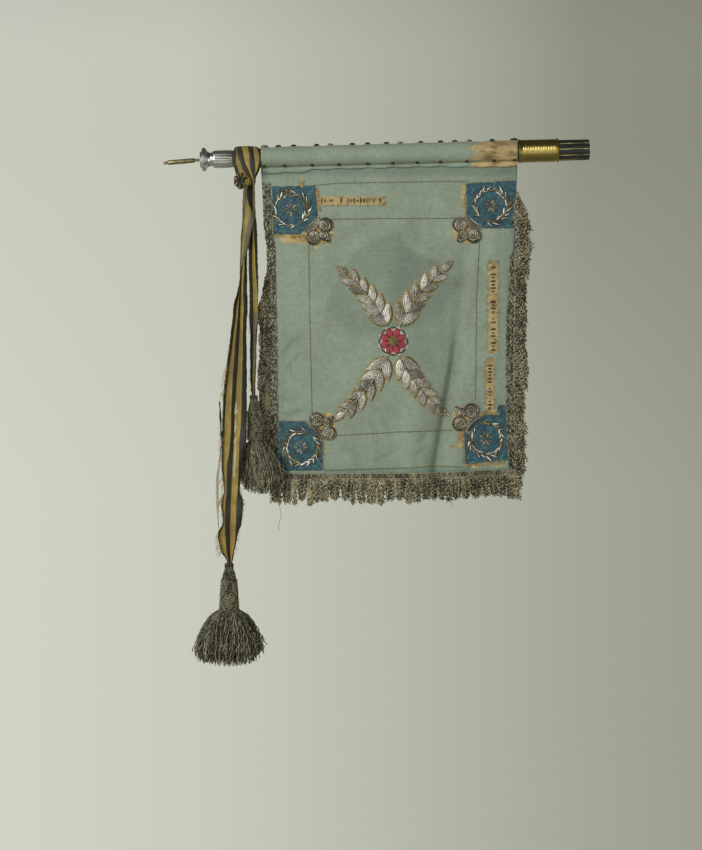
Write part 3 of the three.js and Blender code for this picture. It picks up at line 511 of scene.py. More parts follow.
# spun metal thread: painted shade between the strips, with a dull middle tone and a painted pale glint
bullion = makeMetalThread("tarnishedFringeThread", "#1f1d15", "#625d45", "#cfc6a2", 0.5, 0.25, 3.03)
gimp = makeMetalThread("wovenHeadingThread", "#2b2921", "#6e6a55", "#c4bda0", 0.55, 0.2, 3.03)
tasselThread = makeMetalThread("darkTasselThread", "#1f201a", "#585745", "#a09d80", 0.5, 0.25, 3.333, "#5c4a2c")
silverThread = makeMetalThread("silverEmbroideryThread", "#47443a", "#aaa79a", "#efede4", 0.34, 0.5, 2.381)
dullSilver = makeMetalThread("dullSilverThread", "#3d3828", "#857f6a", "#c6c1af", 0.4, 0.45, 2.381)
dullGold = makeMetalThread("dullGoldThread", "#37311f", "#7d7352", "#b9ad84", 0.45, 0.4, 2.381)
# spun and woven silk: soft and matt, its threads drawn coarser than they are
sewingSilk = makeMottled("brownSewingSilk", "#646548", "#84835f", 0.8, 3.846)
creamSilk = makeMottled("creamSilkLining", "#957a45", "#c9b07a", 0.8, 5.263, depth=0.6)
paleSilk = makeMottled("paleWarpSilk", "#a29c80", "#c3bfa6", 0.8, 5.263)
redSilk = makeMottled("fadedRedSilk", "#7c3036", "#c04b57", 0.7, 4.762, depth=0.8)
oliveSilk = makeMottled("oliveGoldSilk", "#5e5831", "#8d8043", 0.6, 6.25, depth=0.6)
# turned and polished plate keeps its blue-white, with a faint film of tarnish
silverPlate = makeMottled("polishedSilverPlate", "#d2d4d0", "#f2f2f0", 0.2, 16.667, 1.0, 0.02)
# turned brass is bright and warm, and marked round its axis; where it was never cleaned it is brown and dull
brass = makeMottled("turnedBrass", "#9c8748", "#c2b06c", 0.24, 11.111, 1.0, 0.01, (8, 1, 1))
oldBrass = makeMottled("tarnishedBrass", "#76704c", "#aca377", 0.34, 8.333, 0.85, 0.03)
# nail heads blackened all over, and nail heads rubbed down to a dull brown
nailIron = makeMottled("blackenedNailHeads", "#121312", "#2f2c25", 0.35, 5.0, 0.6, 0.1)
rubbedIron = makeMottled("rubbedNailHeads", "#23231a", "#47432f", 0.5, 5.0, 0.4, 0.1)
print("materials ready")


# Camera, light and floor
view = {"at": 466.5, "drop": 539.7, "away": 4.5, "lens": 117.74}
camera = bpy.data.objects.new("camera", bpy.data.cameras.new("camera"))
camera.location = (-view["at"] / 1000, -view["away"], -view["drop"] / 1000)
camera.rotation_euler = (math.pi / 2, 0, 0)
camera.data.sensor_fit = "HORIZONTAL"
camera.data.sensor_width = 36
camera.data.lens = view["lens"]
scene.collection.objects.link(camera)
scene.camera = camera

lamps = {
    "keyLamp": {"place": (-2.4, -2.6, 1.0), "size": 1.6, "power": 68},
    "fillLamp": {"place": (1.6, -2.8, -0.6), "size": 2.0, "power": 18},
}
aim = Vector((-0.45, 0, -0.35))
for name, lamp in lamps.items():
    light = bpy.data.objects.new(name, bpy.data.lights.new(name, "AREA"))
    light.data.size = lamp["size"]
    light.data.energy = lamp["power"]
    light.location = lamp["place"]
    light.rotation_euler = (aim - light.location).to_track_quat("-Z", "Y").to_euler()
    scene.collection.objects.link(light)


def makeRoom():
    # an even pale light, a little warmer and darker to the right, dark overhead
    low = (0.0, 0.3, 0.45, 0.62, 0.78, 1.0), ("#d3d4c7", "#c8cabb", "#bec0b0", "#b1b3a3", "#a5a797", "#989b8b")
    high = (0.0, 0.27, 0.45, 0.62, 0.79, 1.0), ("#c9cabd", "#c4c6b8", "#b5b7a8", "#a7a99a", "#8f9283", "#888b7c")
    climb = (0.1, 0.36, 0.58, 0.66, 0.85), (0.3, 1.0, 1.0, 0.5, 0.16)
    world = bpy.data.worlds.new("paleRoom")
    world.use_nodes = True
    tree = world.node_tree
    facing = addNode(tree, "ShaderNodeTexCoord").outputs["Generated"]
    sides = addNode(tree, "ShaderNodeSeparateXYZ", {"Vector": facing})
    leftRight, height, rise = (
        addNode(tree, "ShaderNodeMapRange", {"Value": sides.outputs[axis], "From Min": start, "From Max": end})
        for axis, start, end in (("X", -0.16, 0.17), ("Z", -0.03, 0.12), ("Z", -1.0, 1.0))
    )
    lowTone, highTone, level = (
        setRamp(addNode(tree, "ShaderNodeValToRGB", {"Fac": fac}), list(zip(*stops)))
        for fac, stops in ((leftRight, low), (leftRight, high), (rise, climb))
    )
    wall = addNode(tree, "ShaderNodeMix", {0: height, 6: lowTone, 7: highTone}, data_type="RGBA")
    room = addNode(tree, "ShaderNodeMix", {0: 1.0, 6: wall, 7: level}, data_type="RGBA", blend_type="MULTIPLY")
    tree.links.new(room.outputs[2], tree.nodes["Background"].inputs["Color"])
    return world


scene.world = makeRoom()
floorShape = {"radius": 1.4, "at": 0.42, "down": 1.75, "corners": 64}  # metres
floorTurns = np.linspace(0, 2 * np.pi, floorShape["corners"], endpoint=False)
floorRing = np.stack([np.cos(floorTurns), np.sin(floorTurns), 0 * floorTurns], -1) * floorShape["radius"]
floorRing = floorRing - [floorShape["at"], 0, floorShape["down"]]
paleFloor = makeMottled("paleFloor", "#b9baab", "#c4c5b7", 0.8, 333.33)
floor = addMesh("floor", floorRing, [list(range(floorShape["corners"]))], paleFloor)
print("camera, light and floor ready")

# Staff and metal fittings
staffShape = {"length": 692, "endRadius": 20.4, "tipRadius": 19.2, "tilt": math.radians(1.5)}


def axisDrop(at):
    return at * math.tan(staffShape["tilt"])


def staffRadius(at):
    return np.interp(at, [0, staffShape["length"]], [staffShape["endRadius"], staffShape["tipRadius"]])


def tilted(points):
    # from the staff's own axis to where the staff lies
    x, y, z = np.moveaxis(points, -1, 0)
    turn = -staffShape["tilt"]
    return np.stack([x * math.cos(turn) + z * math.sin(turn), y, z * math.cos(turn) - x * math.sin(turn)], -1)


sharpEdge = math.radians(35)


def turnedPiece(name, profile, material, segments, dent=None, droop=None):
    # profile rows are (radius, place along the axis); dent lowers the radius by angle and place
    profile = np.asarray(profile, float)
    angles = np.linspace(0, 2 * np.pi, segments, endpoint=False)
    radius = np.repeat(profile[:, :1], segments, axis=1)
    place = np.repeat(profile[:, 1:], segments, axis=1)
    dents = np.zeros_like(radius) if dent is None else dent(np.broadcast_to(angles, radius.shape), place)
    radius = np.maximum(radius - dents, 0)
    points = np.stack([-place, radius * np.cos(angles), radius * np.sin(angles)], -1) / 1000
    if droop:
        x = points[..., 0] + droop["at"] / 1000
        z = points[..., 2].copy()
        points[..., 0] = x * math.cos(droop["turn"]) - z * math.sin(droop["turn"]) - droop["at"] / 1000
        points[..., 2] = z * math.cos(droop["turn"]) + x * math.sin(droop["turn"])
    made = addMesh(name, tilted(points), roundFaces(len(profile), segments), material)
    made.data.set_sharp_from_angle(angle=sharpEdge)
    setAttribute(made, "groove", np.clip(dents.ravel() / flutes["depth"], 0, 1))
    return faceOut(made)


flutes = {"count": 10, "depth": 1.1, "sharpness": 6, "tipMargin": 2}
reeds = {"count": 16, "depth": 0.75, "from": 700, "to": 736, "runOut": 1.5}


def fluteDent(angle, place):
    # rounded flutes; the gilt lies along the sharp hollows between them
    share = (flutes["count"] * angle / (2 * np.pi)) % 1
    hollow = np.abs(np.cos(np.pi * share)) ** flutes["sharpness"]
    return flutes["depth"] * hollow * (place < staffShape["length"] - flutes["tipMargin"])


def reedDent(angle, place):
    # rounded reeds round the barrel, dying out at both its ends
    share = (reeds["count"] * angle / (2 * np.pi)) % 1
    start, end, runOut = reeds["from"], reeds["to"], reeds["runOut"]
    inside = smooth(place, start - runOut, start + runOut) * (1 - smooth(place, end - runOut, end + runOut))
    return reeds["depth"] * (1 - np.sin(np.pi * share) ** 0.7) * inside


# the staff's plain end has a small bevel, and its other end a tenon for the socket
staffProfile = [(19.4, 0.0), (20.2, 0.35)]
staffProfile += [(staffRadius(a), a) for a in (*np.linspace(0, 689, 12)[1:], 690.5, 692)]
staffProfile += [(11, 692), (11, 715.4), (10.4, 716)]
staff = turnedPiece("flutedStaff", staffProfile, lacquer, 160, fluteDent)
fit("black_wood", staff, replaces=["staff"])

collarShape = {
    "from": 61, "to": 138.5, "rim": 23.7, "body": 22.5, "bore": 20.9, "rings": 21, "ringDepth": 0.55,
    "rimWidth": 4, "round": 0.5, "ringForm": [(0.0, 0.0), (0.18, 0.75), (0.5, 1.0), (0.82, 0.75)],
}


def collarProfile():
    # a round-edged rim at each end, with rings between them; ringForm rows are (share of a ring, height)
    s = collarShape
    bore, body, rim, low = s["bore"], s["body"], s["rim"], s["rim"] - s["round"]
    wide, edge = s["rimWidth"], s["round"]
    end = [(bore, 0), (low, 0), (rim, edge), (rim, wide - edge - 0.1), (low, wide), (body, wide + 0.3)]
    start, length = s["from"] + wide + 1, s["to"] - s["from"] - 2 * (wide + 1)
    outline = [(radius, s["from"] + along) for radius, along in end]
    for i in range(s["rings"]):
        for share, height in s["ringForm"]:
            outline.append((body - s["ringDepth"] * (1 - height), start + length * (i + share) / s["rings"]))
    return outline + [(radius, s["to"] - along) for radius, along in end[::-1]]


def makeTube(name, outline, material, segments):
    # a turned outline that closes on itself, with no end faces
    made = turnedPiece(name, outline, material, segments)
    keep = [list(p.vertices) for p in made.data.polygons if len(p.vertices) <= 4]
    last = (len(outline) - 1) * segments
    for i in range(segments):
        after = (i + 1) % segments
        keep.append([last + i, last + after, after, i])
    points = readPoints(made)
    bpy.data.objects.remove(made)
    again = addMesh(name, points, keep, material)
    again.data.set_sharp_from_angle(angle=sharpEdge)
    return faceOut(again)


collar = makeTube("ringedCollar", collarProfile(), brass, 96)
fit("turned_brass", collar, replaces=["brass_collar"])

socketProfile = [
    (11.6, 692.3), (16, 692.3), (16.4, 697), (16.8, 699), (17.1, 701), (17.3, 704), (17.5, 710), (17.5, 718),
    (17.3, 726), (17.0, 732), (16.8, 735), (16.2, 737), (15, 738), (13.8, 740), (13.4, 742), (14, 745), (15.2, 747),
    (17.5, 749), (20.5, 750.6), (22.8, 751.6), (23.4, 752.4), (23.4, 754), (22.6, 754.8), (23.4, 755.6), (23.4, 757.6),
    (22.8, 758.3), (16.6, 758.7), (16, 759.2), (16, 762), (15.6, 762.4), (3.5, 762.4), (3.5, 759.4),
]
socket = turnedPiece("reededSocket", socketProfile, silverPlate, 160, reedDent)
fit("silver_plate", socket, replaces=["finial_socket"])

tangShape = {"from": 759.7, "droop": math.radians(3.5), "handDent": 0.08}
tangProfile = [
    (2.7, 0), (2.7, 12.2), (3.2, 13.2), (4.3, 14.1), (4.6, 15.5), (4.6, 39.1), (4.6, 52), (4.5, 65.1),
    (3.6, 66.8), (2.2, 68.1), (2.3, 69.2), (3.1, 71.1), (3.0, 73), (2.6, 74.6), (1.4, 75.4),
]
tang = turnedPiece(
    "bareTang",
    [(r, tangShape["from"] + a) for r, a in tangProfile],
    oldBrass,
    32,
    lambda angle, place: tangShape["handDent"] * np.sin(3 * angle + place * 0.35),
    {"at": tangShape["from"], "turn": tangShape["droop"]},
)
fit("old_brass", tang, replaces=["finial_tang"])
print("staff and fittings ready")

# The silk sheet
silk = {
    "left": 642.5, "right": 141, "clearance": 1.55, "face": -5.6, "bend": 2.6, "thickness": 1.0,
    "columns": 129, "panelRows": 150, "wrapRows": 44, "flapRows": 6, "wrapFrom": -98, "wrapTo": 248, "nailTurn": 233,
    "pull": 0.5, "pullTurn": 14, "swell": 0.35, "flapLean": 1.1, "flapWave": 0.5,
}
leftEdge = {"drop": [38, 150, 190, 350, 645], "at": [642.5, 637, 631, 629.5, 625]}
rightEdge = {"drop": [26, 154, 206, 500, 636], "at": [141, 143.5, 147, 149, 145]}
bottomEdge = {"at": [141, 330, 643], "drop": [635, 643, 645]}
foldColumns = ("at", "toAt", "toDrop", "from", "full", "until", "gone", "half", "depth")
folds = {
    "crease": (246, 302, 620, 330, 510, 700, 720, 27, 9),
    "beside": (210, 262, 555, 390, 560, 700, 720, 38, -6),
    "inner": (300, 350, 555, 410, 570, 700, 720, 38, -4),
    "belly": (410, 410, 600, 90, 330, 460, 640, 165, -8),
    "tassel": (645, 645, 600, 280, 500, 700, 720, 105, 15),
    "right": (140, 140, 600, 110, 380, 700, 720, 70, 5),
    "upper": (236, 262, 400, 120, 240, 380, 460, 20, 3.0),
    "lower": (470, 480, 600, 420, 610, 700, 720, 62, -4),
    # finer folds that only the fabric shows
    "creaseEdge": (249, 300, 620, 290, 500, 700, 720, 7.5, 3.9),
    "creaseLip": (262, 313, 620, 340, 440, 700, 720, 10, -1.8),
    "cornerPull": (580, 604, 560, 370, 450, 520, 620, 10, 1.6),
    "hangLeft": (520, 515, 400, 40, 150, 260, 420, 26, -1.3),
    "hangMiddle": (330, 345, 400, 45, 120, 200, 330, 22, 1.2),
    "hangRight": (190, 185, 400, 60, 200, 420, 520, 18, -1.4),
    "lowPullBeside": (440, 418, 620, 430, 500, 580, 660, 14, -1.5),
}
# short puckers, each from (at, drop) to (at, drop), with its half width and depth
puckers = [
    (608, 405, 552, 356, 5, 2.8), (604, 428, 566, 398, 5, -1.6), (604, 522, 554, 513, 5, 3.0),
    (607, 486, 566, 494, 5, 2.2), (600, 462, 572, 474, 5, -1.4), (496, 574, 440, 606, 6, 2.4),
    (480, 602, 452, 618, 5, -1.4), (340, 577, 312, 555, 5, 2.6), (348, 600, 318, 586, 5, 2.0),
    (604, 262, 566, 255, 5, -1.5), (470, 530, 448, 470, 6, 1.6), (330, 500, 300, 450, 6, 1.6),
    (232, 470, 212, 430, 5, 1.6), (560, 300, 532, 330, 6, -1.3), (236, 330, 216, 290, 6, 1.3),
    (420, 610, 380, 596, 5, 1.8),
]


def foldDepth(at, drop):
    depth = np.zeros(np.broadcast(at, drop).shape)
    for row in folds.values():
        f = dict(zip(foldColumns, row))
        share = (np.clip(drop, f["from"], f["toDrop"]) - f["from"]) / (f["toDrop"] - f["from"])
        middle = f["at"] + (f["toAt"] - f["at"]) * share
        away = np.minimum(1, np.abs(at - middle) / f["half"])
        whole = smooth(drop, f["from"], f["full"]) * (1 - smooth(drop, f["until"], f["gone"]))
        depth = depth + f["depth"] * whole * np.cos(away * np.pi / 2) ** 2
    return depth


def puckerDepth(at, drop):
    depth = np.zeros(np.broadcast(at, drop).shape)
    for fromAt, fromDrop, toAt, toDrop, half, deep in puckers:
        length = math.hypot(toAt - fromAt, toDrop - fromDrop)
        alongAt, alongDrop = (toAt - fromAt) / length, (toDrop - fromDrop) / length
        along = (at - fromAt) * alongAt + (drop - fromDrop) * alongDrop
        aside = (drop - fromDrop) * alongAt - (at - fromAt) * alongDrop + 2 * np.sin(along / 9)
        ends = smooth(along, -4, length * 0.3) * (1 - smooth(along, length * 0.7, length + 6))
        depth = depth + deep * ends * bell(aside, 0, half)
    return depth


def crumple(at, drop):
    # slight puckers all over, stronger along the seams and hems
    at, drop = np.broadcast_arrays(at, drop)
    still = np.zeros(at.shape)
    lumps = ripple(np.stack([at * 0.8 + drop * 0.25, drop * 0.55 - at * 0.1, still], -1), 24.0, 4.4)
    slants = ripple(np.stack([at + drop * 0.5, drop * 0.2, still], -1), 13.0, 9.1)
    hem = 0.45 * bell(drop, 628, 9) * np.sin(at / 6.5 + np.sin(at / 23))
    seam = 0.3 * (bell(drop, 66, 7) + bell(drop, 136, 6)) * np.sin(at / 5.1 + np.sin(at / 19))
    low = 0.5 + smooth(drop, 300, 560)
    return (1.5 * lumps + 0.8 * slants * low + hem + seam + puckerDepth(at, drop)) * smooth(drop, 46, 80)


def fromTable(edge, at, given, wanted):
    # reads a table's column at places along another of its columns
    return np.interp(at, edge[given], edge[wanted])


def frontAt(at, drop, lift=0.0):
    # y of the silk's front face, less a lift
    height = np.clip(drop, 50, fromTable(bottomEdge, at, "at", "drop") - 1)
    right = fromTable(rightEdge, height, "drop", "at") + 0.5
    left = fromTable(leftEdge, height, "drop", "at") - 0.5
    place = np.clip(at, right, left)
    return silk["face"] + foldDepth(place, height) + crumple(place, height) - silk["thickness"] / 2 - lift


lowNails = [147, 187, 240, 292, 337, 385, 434, 490, 543, 596, 636]
topNails = [147, 190, 235, 263, 291, 330, 370, 397, 434, 464, 507, 534, 579, 609, 636]
flapEnds = {"at": [141, 240, 300, 540, 562, 643], "more": [4, 3, 0, 0, 5, 6]}


def flapLength(at):
    i = np.clip(np.searchsorted(lowNails, at, side="left"), 1, len(lowNails) - 1)
    nails = np.asarray(lowNails, float)
    share = np.clip((at - nails[i - 1]) / (nails[i] - nails[i - 1]), 0, 1)
    return 4.6 + 2.2 * np.sin(np.pi * share) + np.interp(at, flapEnds["at"], flapEnds["more"])


def makeSilk():
    # rows of (at, y, drop, part): the panel upwards is part 0, the wrap is 1, and the flap is over 2
    s = silk
    across = np.linspace(0, 1, s["columns"] + 1)
    top = s["left"] + (s["right"] - s["left"]) * across
    axis = axisDrop(top)
    radius = staffRadius(top) + s["clearance"]
    panelTop = axis + radius + 0.4 + s["bend"]
    rows = []
    for share in np.linspace(1, 0, s["panelRows"] + 1):
        drop = panelTop + (fromTable(bottomEdge, top, "at", "drop") - panelTop) * share
        left, right = (fromTable(edge, drop, "drop", "at") for edge in (leftEdge, rightEdge))
        at = left + (right - left) * across
        rows.append((at, s["face"] + foldDepth(at, drop) + crumple(at, drop), drop, 0))
    for turn in (22, 45, 67, 90):
        angle = math.radians(180 - turn)
        y = s["face"] + s["bend"] + s["bend"] * math.cos(angle)
        rows.append((top, y, panelTop - s["bend"] * math.sin(angle), 0))
    for share in np.linspace(0, 1, s["wrapRows"] + 1)[1:]:
        turn = s["wrapFrom"] + (s["wrapTo"] - s["wrapFrom"]) * share
        angle = math.radians(turn)
        # the cloth is drawn in a little at each nail along the top
        betweenNails = np.cos(np.pi * np.interp(top, topNails, range(len(topNails))) * 2)
        pull = s["pull"] * bell(turn, 90, s["pullTurn"]) * betweenNails
        swell = radius + pull + s["swell"] * np.sin(top / 13 + 2 * share) * (0 < share < 0.97)
        rows.append((top, swell * math.cos(angle), axis - swell * math.sin(angle), 1))
    nailedY, nailedDrop = rows[-1][1], rows[-1][2]
    length = flapLength(top)
    wave = s["flapWave"] * np.sin(top / 9.0)
    for share in np.linspace(0, 1, s["flapRows"] + 1)[1:]:
        lean = s["flapLean"] * (1 - (1 - share) ** 2)
        rows.append((top, nailedY - lean - wave * share * 0.6, nailedDrop + length * share, 2 + share))
    points = np.stack([spot(at, y, drop) for at, y, drop, _ in rows])
    part = np.stack([np.full(len(across), float(p)) for *_, p in rows])
    made = addMesh("silkSheet", points, gridFaces(*points.shape[:2]), agedSilk)
    masks = silkMasks(-points[..., 0] * 1000, -points[..., 2] * 1000, points[..., 1] * 1000, part)
    for label, values in masks.items():
        setAttribute(made, label, values.ravel())
    return made


# Where the blue-green silk has worn through to its cream lining, in millimetres
wornColumns = ("fromAt", "toAt", "fromDrop", "toDrop")
wornPlaces = {
    "tear": (560.5, 566, 50, 72), "besideUpperLeft": (525, 542, 79, 109), "underUpperLeft": (546, 604, 164, 184),
    "cornerUpperLeft": (613, 621, 142, 168), "besideUpperRight": (240, 249, 68, 128),
    "topBand": (402, 532, 92.5, 108.5), "rightBand": (179.5, 197.5, 222, 400), "lowerBand": (187, 202.5, 412, 518),
    "overLowerRight": (174, 214, 512.5, 522), "besideLowerRight": (245, 258, 553, 581),
    "underLowerRight": (168, 238, 615.5, 621), "fingerUpperLeft": (532, 538, 176, 197),
    "cornerLowerLeft": (516, 524, 560, 592), "strayRight": (236, 252, 508, 520), "strayLow": (248, 278, 579, 584),
}
wornRounds = {  # at, drop and reach of the worn place round each ornament
    "upperLeft": (523, 165, 23), "upperRight": (242, 162, 24), "lowerLeft": (517, 539, 23),
    "lowerRight": (245, 523, 21),
}
stainOutline = {  # the old stain's upper and lower edge
    "at": [255, 275, 300, 340, 362, 370, 385, 402, 440, 466, 490, 508, 520],
    "top": [262, 236, 216, 204, 184, 166, 160, 168, 186, 208, 246, 282, 320],
    "low": [262, 300, 330, 346, 352, 356, 360, 362, 362, 356, 346, 332, 320],
}
creaseLine = {"drop": [150, 222, 404, 526, 636], "at": [238, 246, 267, 291, 309]}
# the crease, the puckers, the band under the staff, the strip under the sleeve and the sleeve's foot are painted shade;
# the stain and the brown mark are real
silkTone = {  # how much darker each of these makes the cloth
    "stain": 0.27, "shadow": 0.14, "rightEdge": 0.22, "leftEdge": 0.14, "lowCreaseShade": 0.2, "highCreaseShade": 0.16,
    "puckers": 0.08, "hem": 0.1, "underStaffShade": 0.1, "brownMark": 0.3, "underSleeveShadow": 0.35, "sleeveFootShade": 0.25,
}


def silkMasks(at, drop, y, part):
    panel, wrap, flap = part == 0, part == 1, part > 1
    flat = np.stack([at, np.zeros(at.shape), drop], -1)
    warpedAt = at + 5.5 * ripple(flat, 8.0, 1.7)
    warpedDrop = drop + 3.5 * ripple(flat, 7.0, 5.3)
    inside = np.full(at.shape, -99.0)
    for row in wornPlaces.values():
        w = dict(zip(wornColumns, row))
        across = np.minimum(warpedAt - w["fromAt"], w["toAt"] - warpedAt)
        down = np.minimum(warpedDrop - w["fromDrop"], w["toDrop"] - warpedDrop)
        inside = np.maximum(inside, np.minimum(across, down))
    for middleAt, middleDrop, reach in wornRounds.values():
        inside = np.maximum(inside, reach - np.hypot(warpedAt - middleAt, warpedDrop - middleDrop))
    worn = np.clip(0.5 + inside / 9, 0, 1) * panel
    # the sleeve's plain end has lost its blue silk, in fingers
    edge = 222 + 18 * bell(drop, 1, 3.6) + 12 * bell(drop, 17, 3) + 12 * ripple(flat * [0.15, 1, 1], 3.0, 2.2)
    sleeve = np.clip(0.5 + (edge - at) / 34, 0, 1) * smooth(-y, -12, 2)
    worn = np.where(wrap, np.maximum(worn, sleeve), worn)
    worn = np.where(flap, np.maximum(worn, np.clip(0.5 + (229 - warpedAt) / 8, 0, 1)), worn)
    worn = worn * (1 - (1 - smooth(at, 141.5, 145)) * wrap)
    # how dark the cloth is: the stain, a painted shadow beside it, the edges, the hems, and painted shade along the
    # crease, in the puckers' hollows and under the staff and the sleeve
    tone = silkTone
    above, below = (fromTable(stainOutline, warpedAt, "at", side) for side in ("top", "low"))
    shade = tone["stain"] * smooth(np.minimum(warpedDrop - above, (below - warpedDrop) / 3), -4, 6)
    shadow = 1 - np.hypot((warpedAt - 330) / 60, (warpedDrop - 300) / 150)
    shade = shade + tone["shadow"] * smooth(shadow * 3, -1, 1)
    shade = shade + tone["rightEdge"] * (1 - smooth(at, 145, 200))
    shade = shade + tone["leftEdge"] * smooth(at, 560, 625) * smooth(drop, 250, 500)
    # painted shade: the cloth is darkened along the crease and in the puckers' hollows, where shadow would lie
    fold = at - fromTable(creaseLine, drop, "drop", "at")
    shade = shade + tone["lowCreaseShade"] * bell(fold, 0, 9) * smooth(drop, 320, 470)
    shade = shade + tone["highCreaseShade"] * bell(fold, 0, 11) * smooth(drop, 150, 230)
    shade = shade + tone["puckers"] * np.maximum(puckerDepth(at, drop), 0)
    # darker towards the hem, and a band of painted shade just under the staff
    shade = shade + tone["hem"] * smooth(drop, 570, 640) + tone["underStaffShade"] * bell(drop, 60, 30)
    # a small brown mark by the left edge
    mark = bell(at + (drop - 430) * 0.12, 583, 2.6) * np.exp(-(((drop - 431) / 15) ** 4))
    # the brown mark, and a painted shadow on the strip just under the sleeve's flap
    shade = shade + tone["brownMark"] * mark + tone["underSleeveShadow"] * (1 - smooth(drop, 44, 58))
    # painted shade on the sleeve's underside, where it turns under the staff
    shade = shade * panel + tone["sleeveFootShade"] * wrap * smooth(drop - axisDrop(at), 6, 20)
    # the dye has kept its blue on the flap's edge, the hem and a corner of the plain side
    teal = np.where(part > 2.4, 0.5 * smooth(part, 2.4, 2.9), 0.0)
    teal = np.maximum(teal, 0.5 * bell(drop, 629, 4) * (at < 520) * panel)
    teal = np.maximum(teal, 0.35 * (at < 152) * (drop > 155) * (drop < 215) * panel)
    stain = bell(at, 197, 13) * bell(drop, 15, 8) + bell(at, 174, 15) * bell(drop, -9, 6)
    stain = stain + 0.8 * smooth(ripple(flat * [0.4, 1, 1], 7.0, 8.8), 0.15, 0.5)
    return {"worn": worn, "shade": np.clip(shade, 0, 0.85), "teal": teal, "stain": np.clip(stain, 0, 1) * 0.75}


silkSheet = thicken(makeSilk(), silk["thickness"])
fit("silk", silkSheet, replaces=["cloth"])
print("silk sheet ready")


# Nails
def domeShape(name, rings=5, segments=18, power=0.5):
    turns = np.linspace(0, 2 * np.pi, segments, endpoint=False)
    share = np.linspace(0, 1, rings)
    radius = np.cos(share * np.pi / 2) ** power
    radius[-1] = 0.02
    heights = np.sin(share * np.pi / 2)
    points = [
        np.stack([r * np.cos(turns), r * np.sin(turns), np.full(segments, h)], -1) for r, h in zip(radius, heights)
    ]
    return addMesh(name, np.stack(points), roundFaces(rings, segments, flip=True))


dome = domeShape("nailHead")
nailSizes = {  # radius and height in metres; the end nails of the top row are wide, and the low ones flat
    "wide": (0.0076, 0.004), "top": (0.0056, 0.0038), "low": (0.0046, 0.002), "lowShare": 0.72,
}


def nailPlaces(names):
    places, turns, sizes = [], [], []
    for label in names:
        low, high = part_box(label)
        middle = (Vector(low) + Vector(high)) / 2
        onTop = "top" in label
        turn = math.radians(90 if onTop else silk["nailTurn"])
        outward = Vector((0, math.cos(turn), math.sin(turn)))
        wide = label in ("nail_top_01", "nail_top_15")
        radius, height = nailSizes["wide" if wide else "top" if onTop else "low"]
        places.append(middle - outward * height / 2)
        turns.append(outward.to_track_quat("Z", "X").to_euler())
        # the low heads are sunk in the silk's edge, so they show narrower one way
        sizes.append((radius if onTop else radius * nailSizes["lowShare"], radius, height))
    return places, turns, sizes


topNames = [f"nail_top_{i:02d}" for i in range(1, 16)]
lowNames = [f"nail_low_{i:02d}" for i in range(1, 12)]
brightNails = ["nail_top_03", "nail_top_07", "nail_top_11", "nail_top_15"]
for pieceName, names, finish in (
    ("brassNails", brightNails, oldBrass),
    ("darkNails", [n for n in topNames if n not in brightNails], nailIron),
    ("lowNails", lowNames, rubbedIron),
):
    fit("old_brass", copies(pieceName, dome, *nailPlaces(names), finish), replaces=names)
print("nails ready")


# Sewn lines
seams = {
    "topLine": [(541, 70.5), (492, 66.4), (399.8, 64.8), (272.4, 63), (243, 63.4)],
    "innerTop": [(528, 137.4), (409.6, 135.7), (236, 135.2)],
    "innerLeft": [(549, 186), (549, 226.9), (545.7, 392.7), (542.5, 524)],
    "innerRight": [(215.2, 172), (215.6, 193), (220.9, 286.9), (223, 492.7)],
    "innerBottom": [(498.6, 560.5), (370.4, 553.4), (266.6, 549.5)],
    "hem": [(519, 628.5), (341, 623.2), (310.7, 620.3), (246, 622)],
}


def seamPath(corners):
    # the stitches wander a little from the line between a seam's corners
    corners = np.asarray(corners, float)
    reach = np.r_[0, np.cumsum(np.hypot(*np.diff(corners, axis=0).T))]
    steps = np.linspace(0, reach[-1], stitching["points"])
    at, drop = np.interp(steps, reach, corners[:, 0]), np.interp(steps, reach, corners[:, 1])
    wander = 0.5 * np.sin(steps / 11.0) + 0.4 * np.sin(steps / 4.3)
    return spot(at, frontAt(at, drop, stitching["lift"]), drop + wander * 0.4)


stitching = {"points": 160, "lift": 0.1, "radius": 1.1, "overCloth": 0.9}
lowLine = np.linspace(148, 641, stitching["points"])  # the sewn line under the nails
lowTurn = math.radians(silk["nailTurn"] - 2)
lowRadius = staffRadius(lowLine) + silk["clearance"] + stitching["overCloth"]
lowPath = spot(lowLine, lowRadius * math.cos(lowTurn), axisDrop(lowLine) - lowRadius * math.sin(lowTurn))
seamPaths = np.stack([seamPath(corners) for corners in seams.values()] + [lowPath])
seamTaper = 0.85 + 0.2 * np.sin(np.arange(stitching["points"]) * 0.9)
fit("ribbon_silk", threads("sewnLines", seamPaths, stitching["radius"], sewingSilk, taper=seamTaper, sides=5))
print("sewn lines ready")

# Corner patches; the slant is the cut corner's (at, drop) and the way in from it
patches = {
    "patch_upper_left": {
        "corners": [(621.5, 73), (536, 71), (528, 167), (619, 166)], "slant": (545.5, 144.5, 0.72, -0.69),
    },
    "patch_upper_right": {
        "corners": [(241.5, 67), (144.2, 62), (146.5, 154), (242, 156)], "slant": (225.5, 139, -0.62, -0.78),
    },
    "patch_lower_left": {
        "corners": [(607.5, 531), (520, 533), (521.5, 628), (607, 629)], "slant": (536.5, 556, 0.78, 0.62),
    },
    "patch_lower_right": {
        "corners": [(246.5, 521), (164.5, 519), (160, 608), (243, 617)], "slant": (228, 539, -0.72, 0.69), "strip": 19,
    },
}
patchCut = {"cells": 44, "lift": 0.8, "thickness": 0.7, "side": 90, "fray": 1.6, "puff": 0.5, "frayedEdge": 0.62}


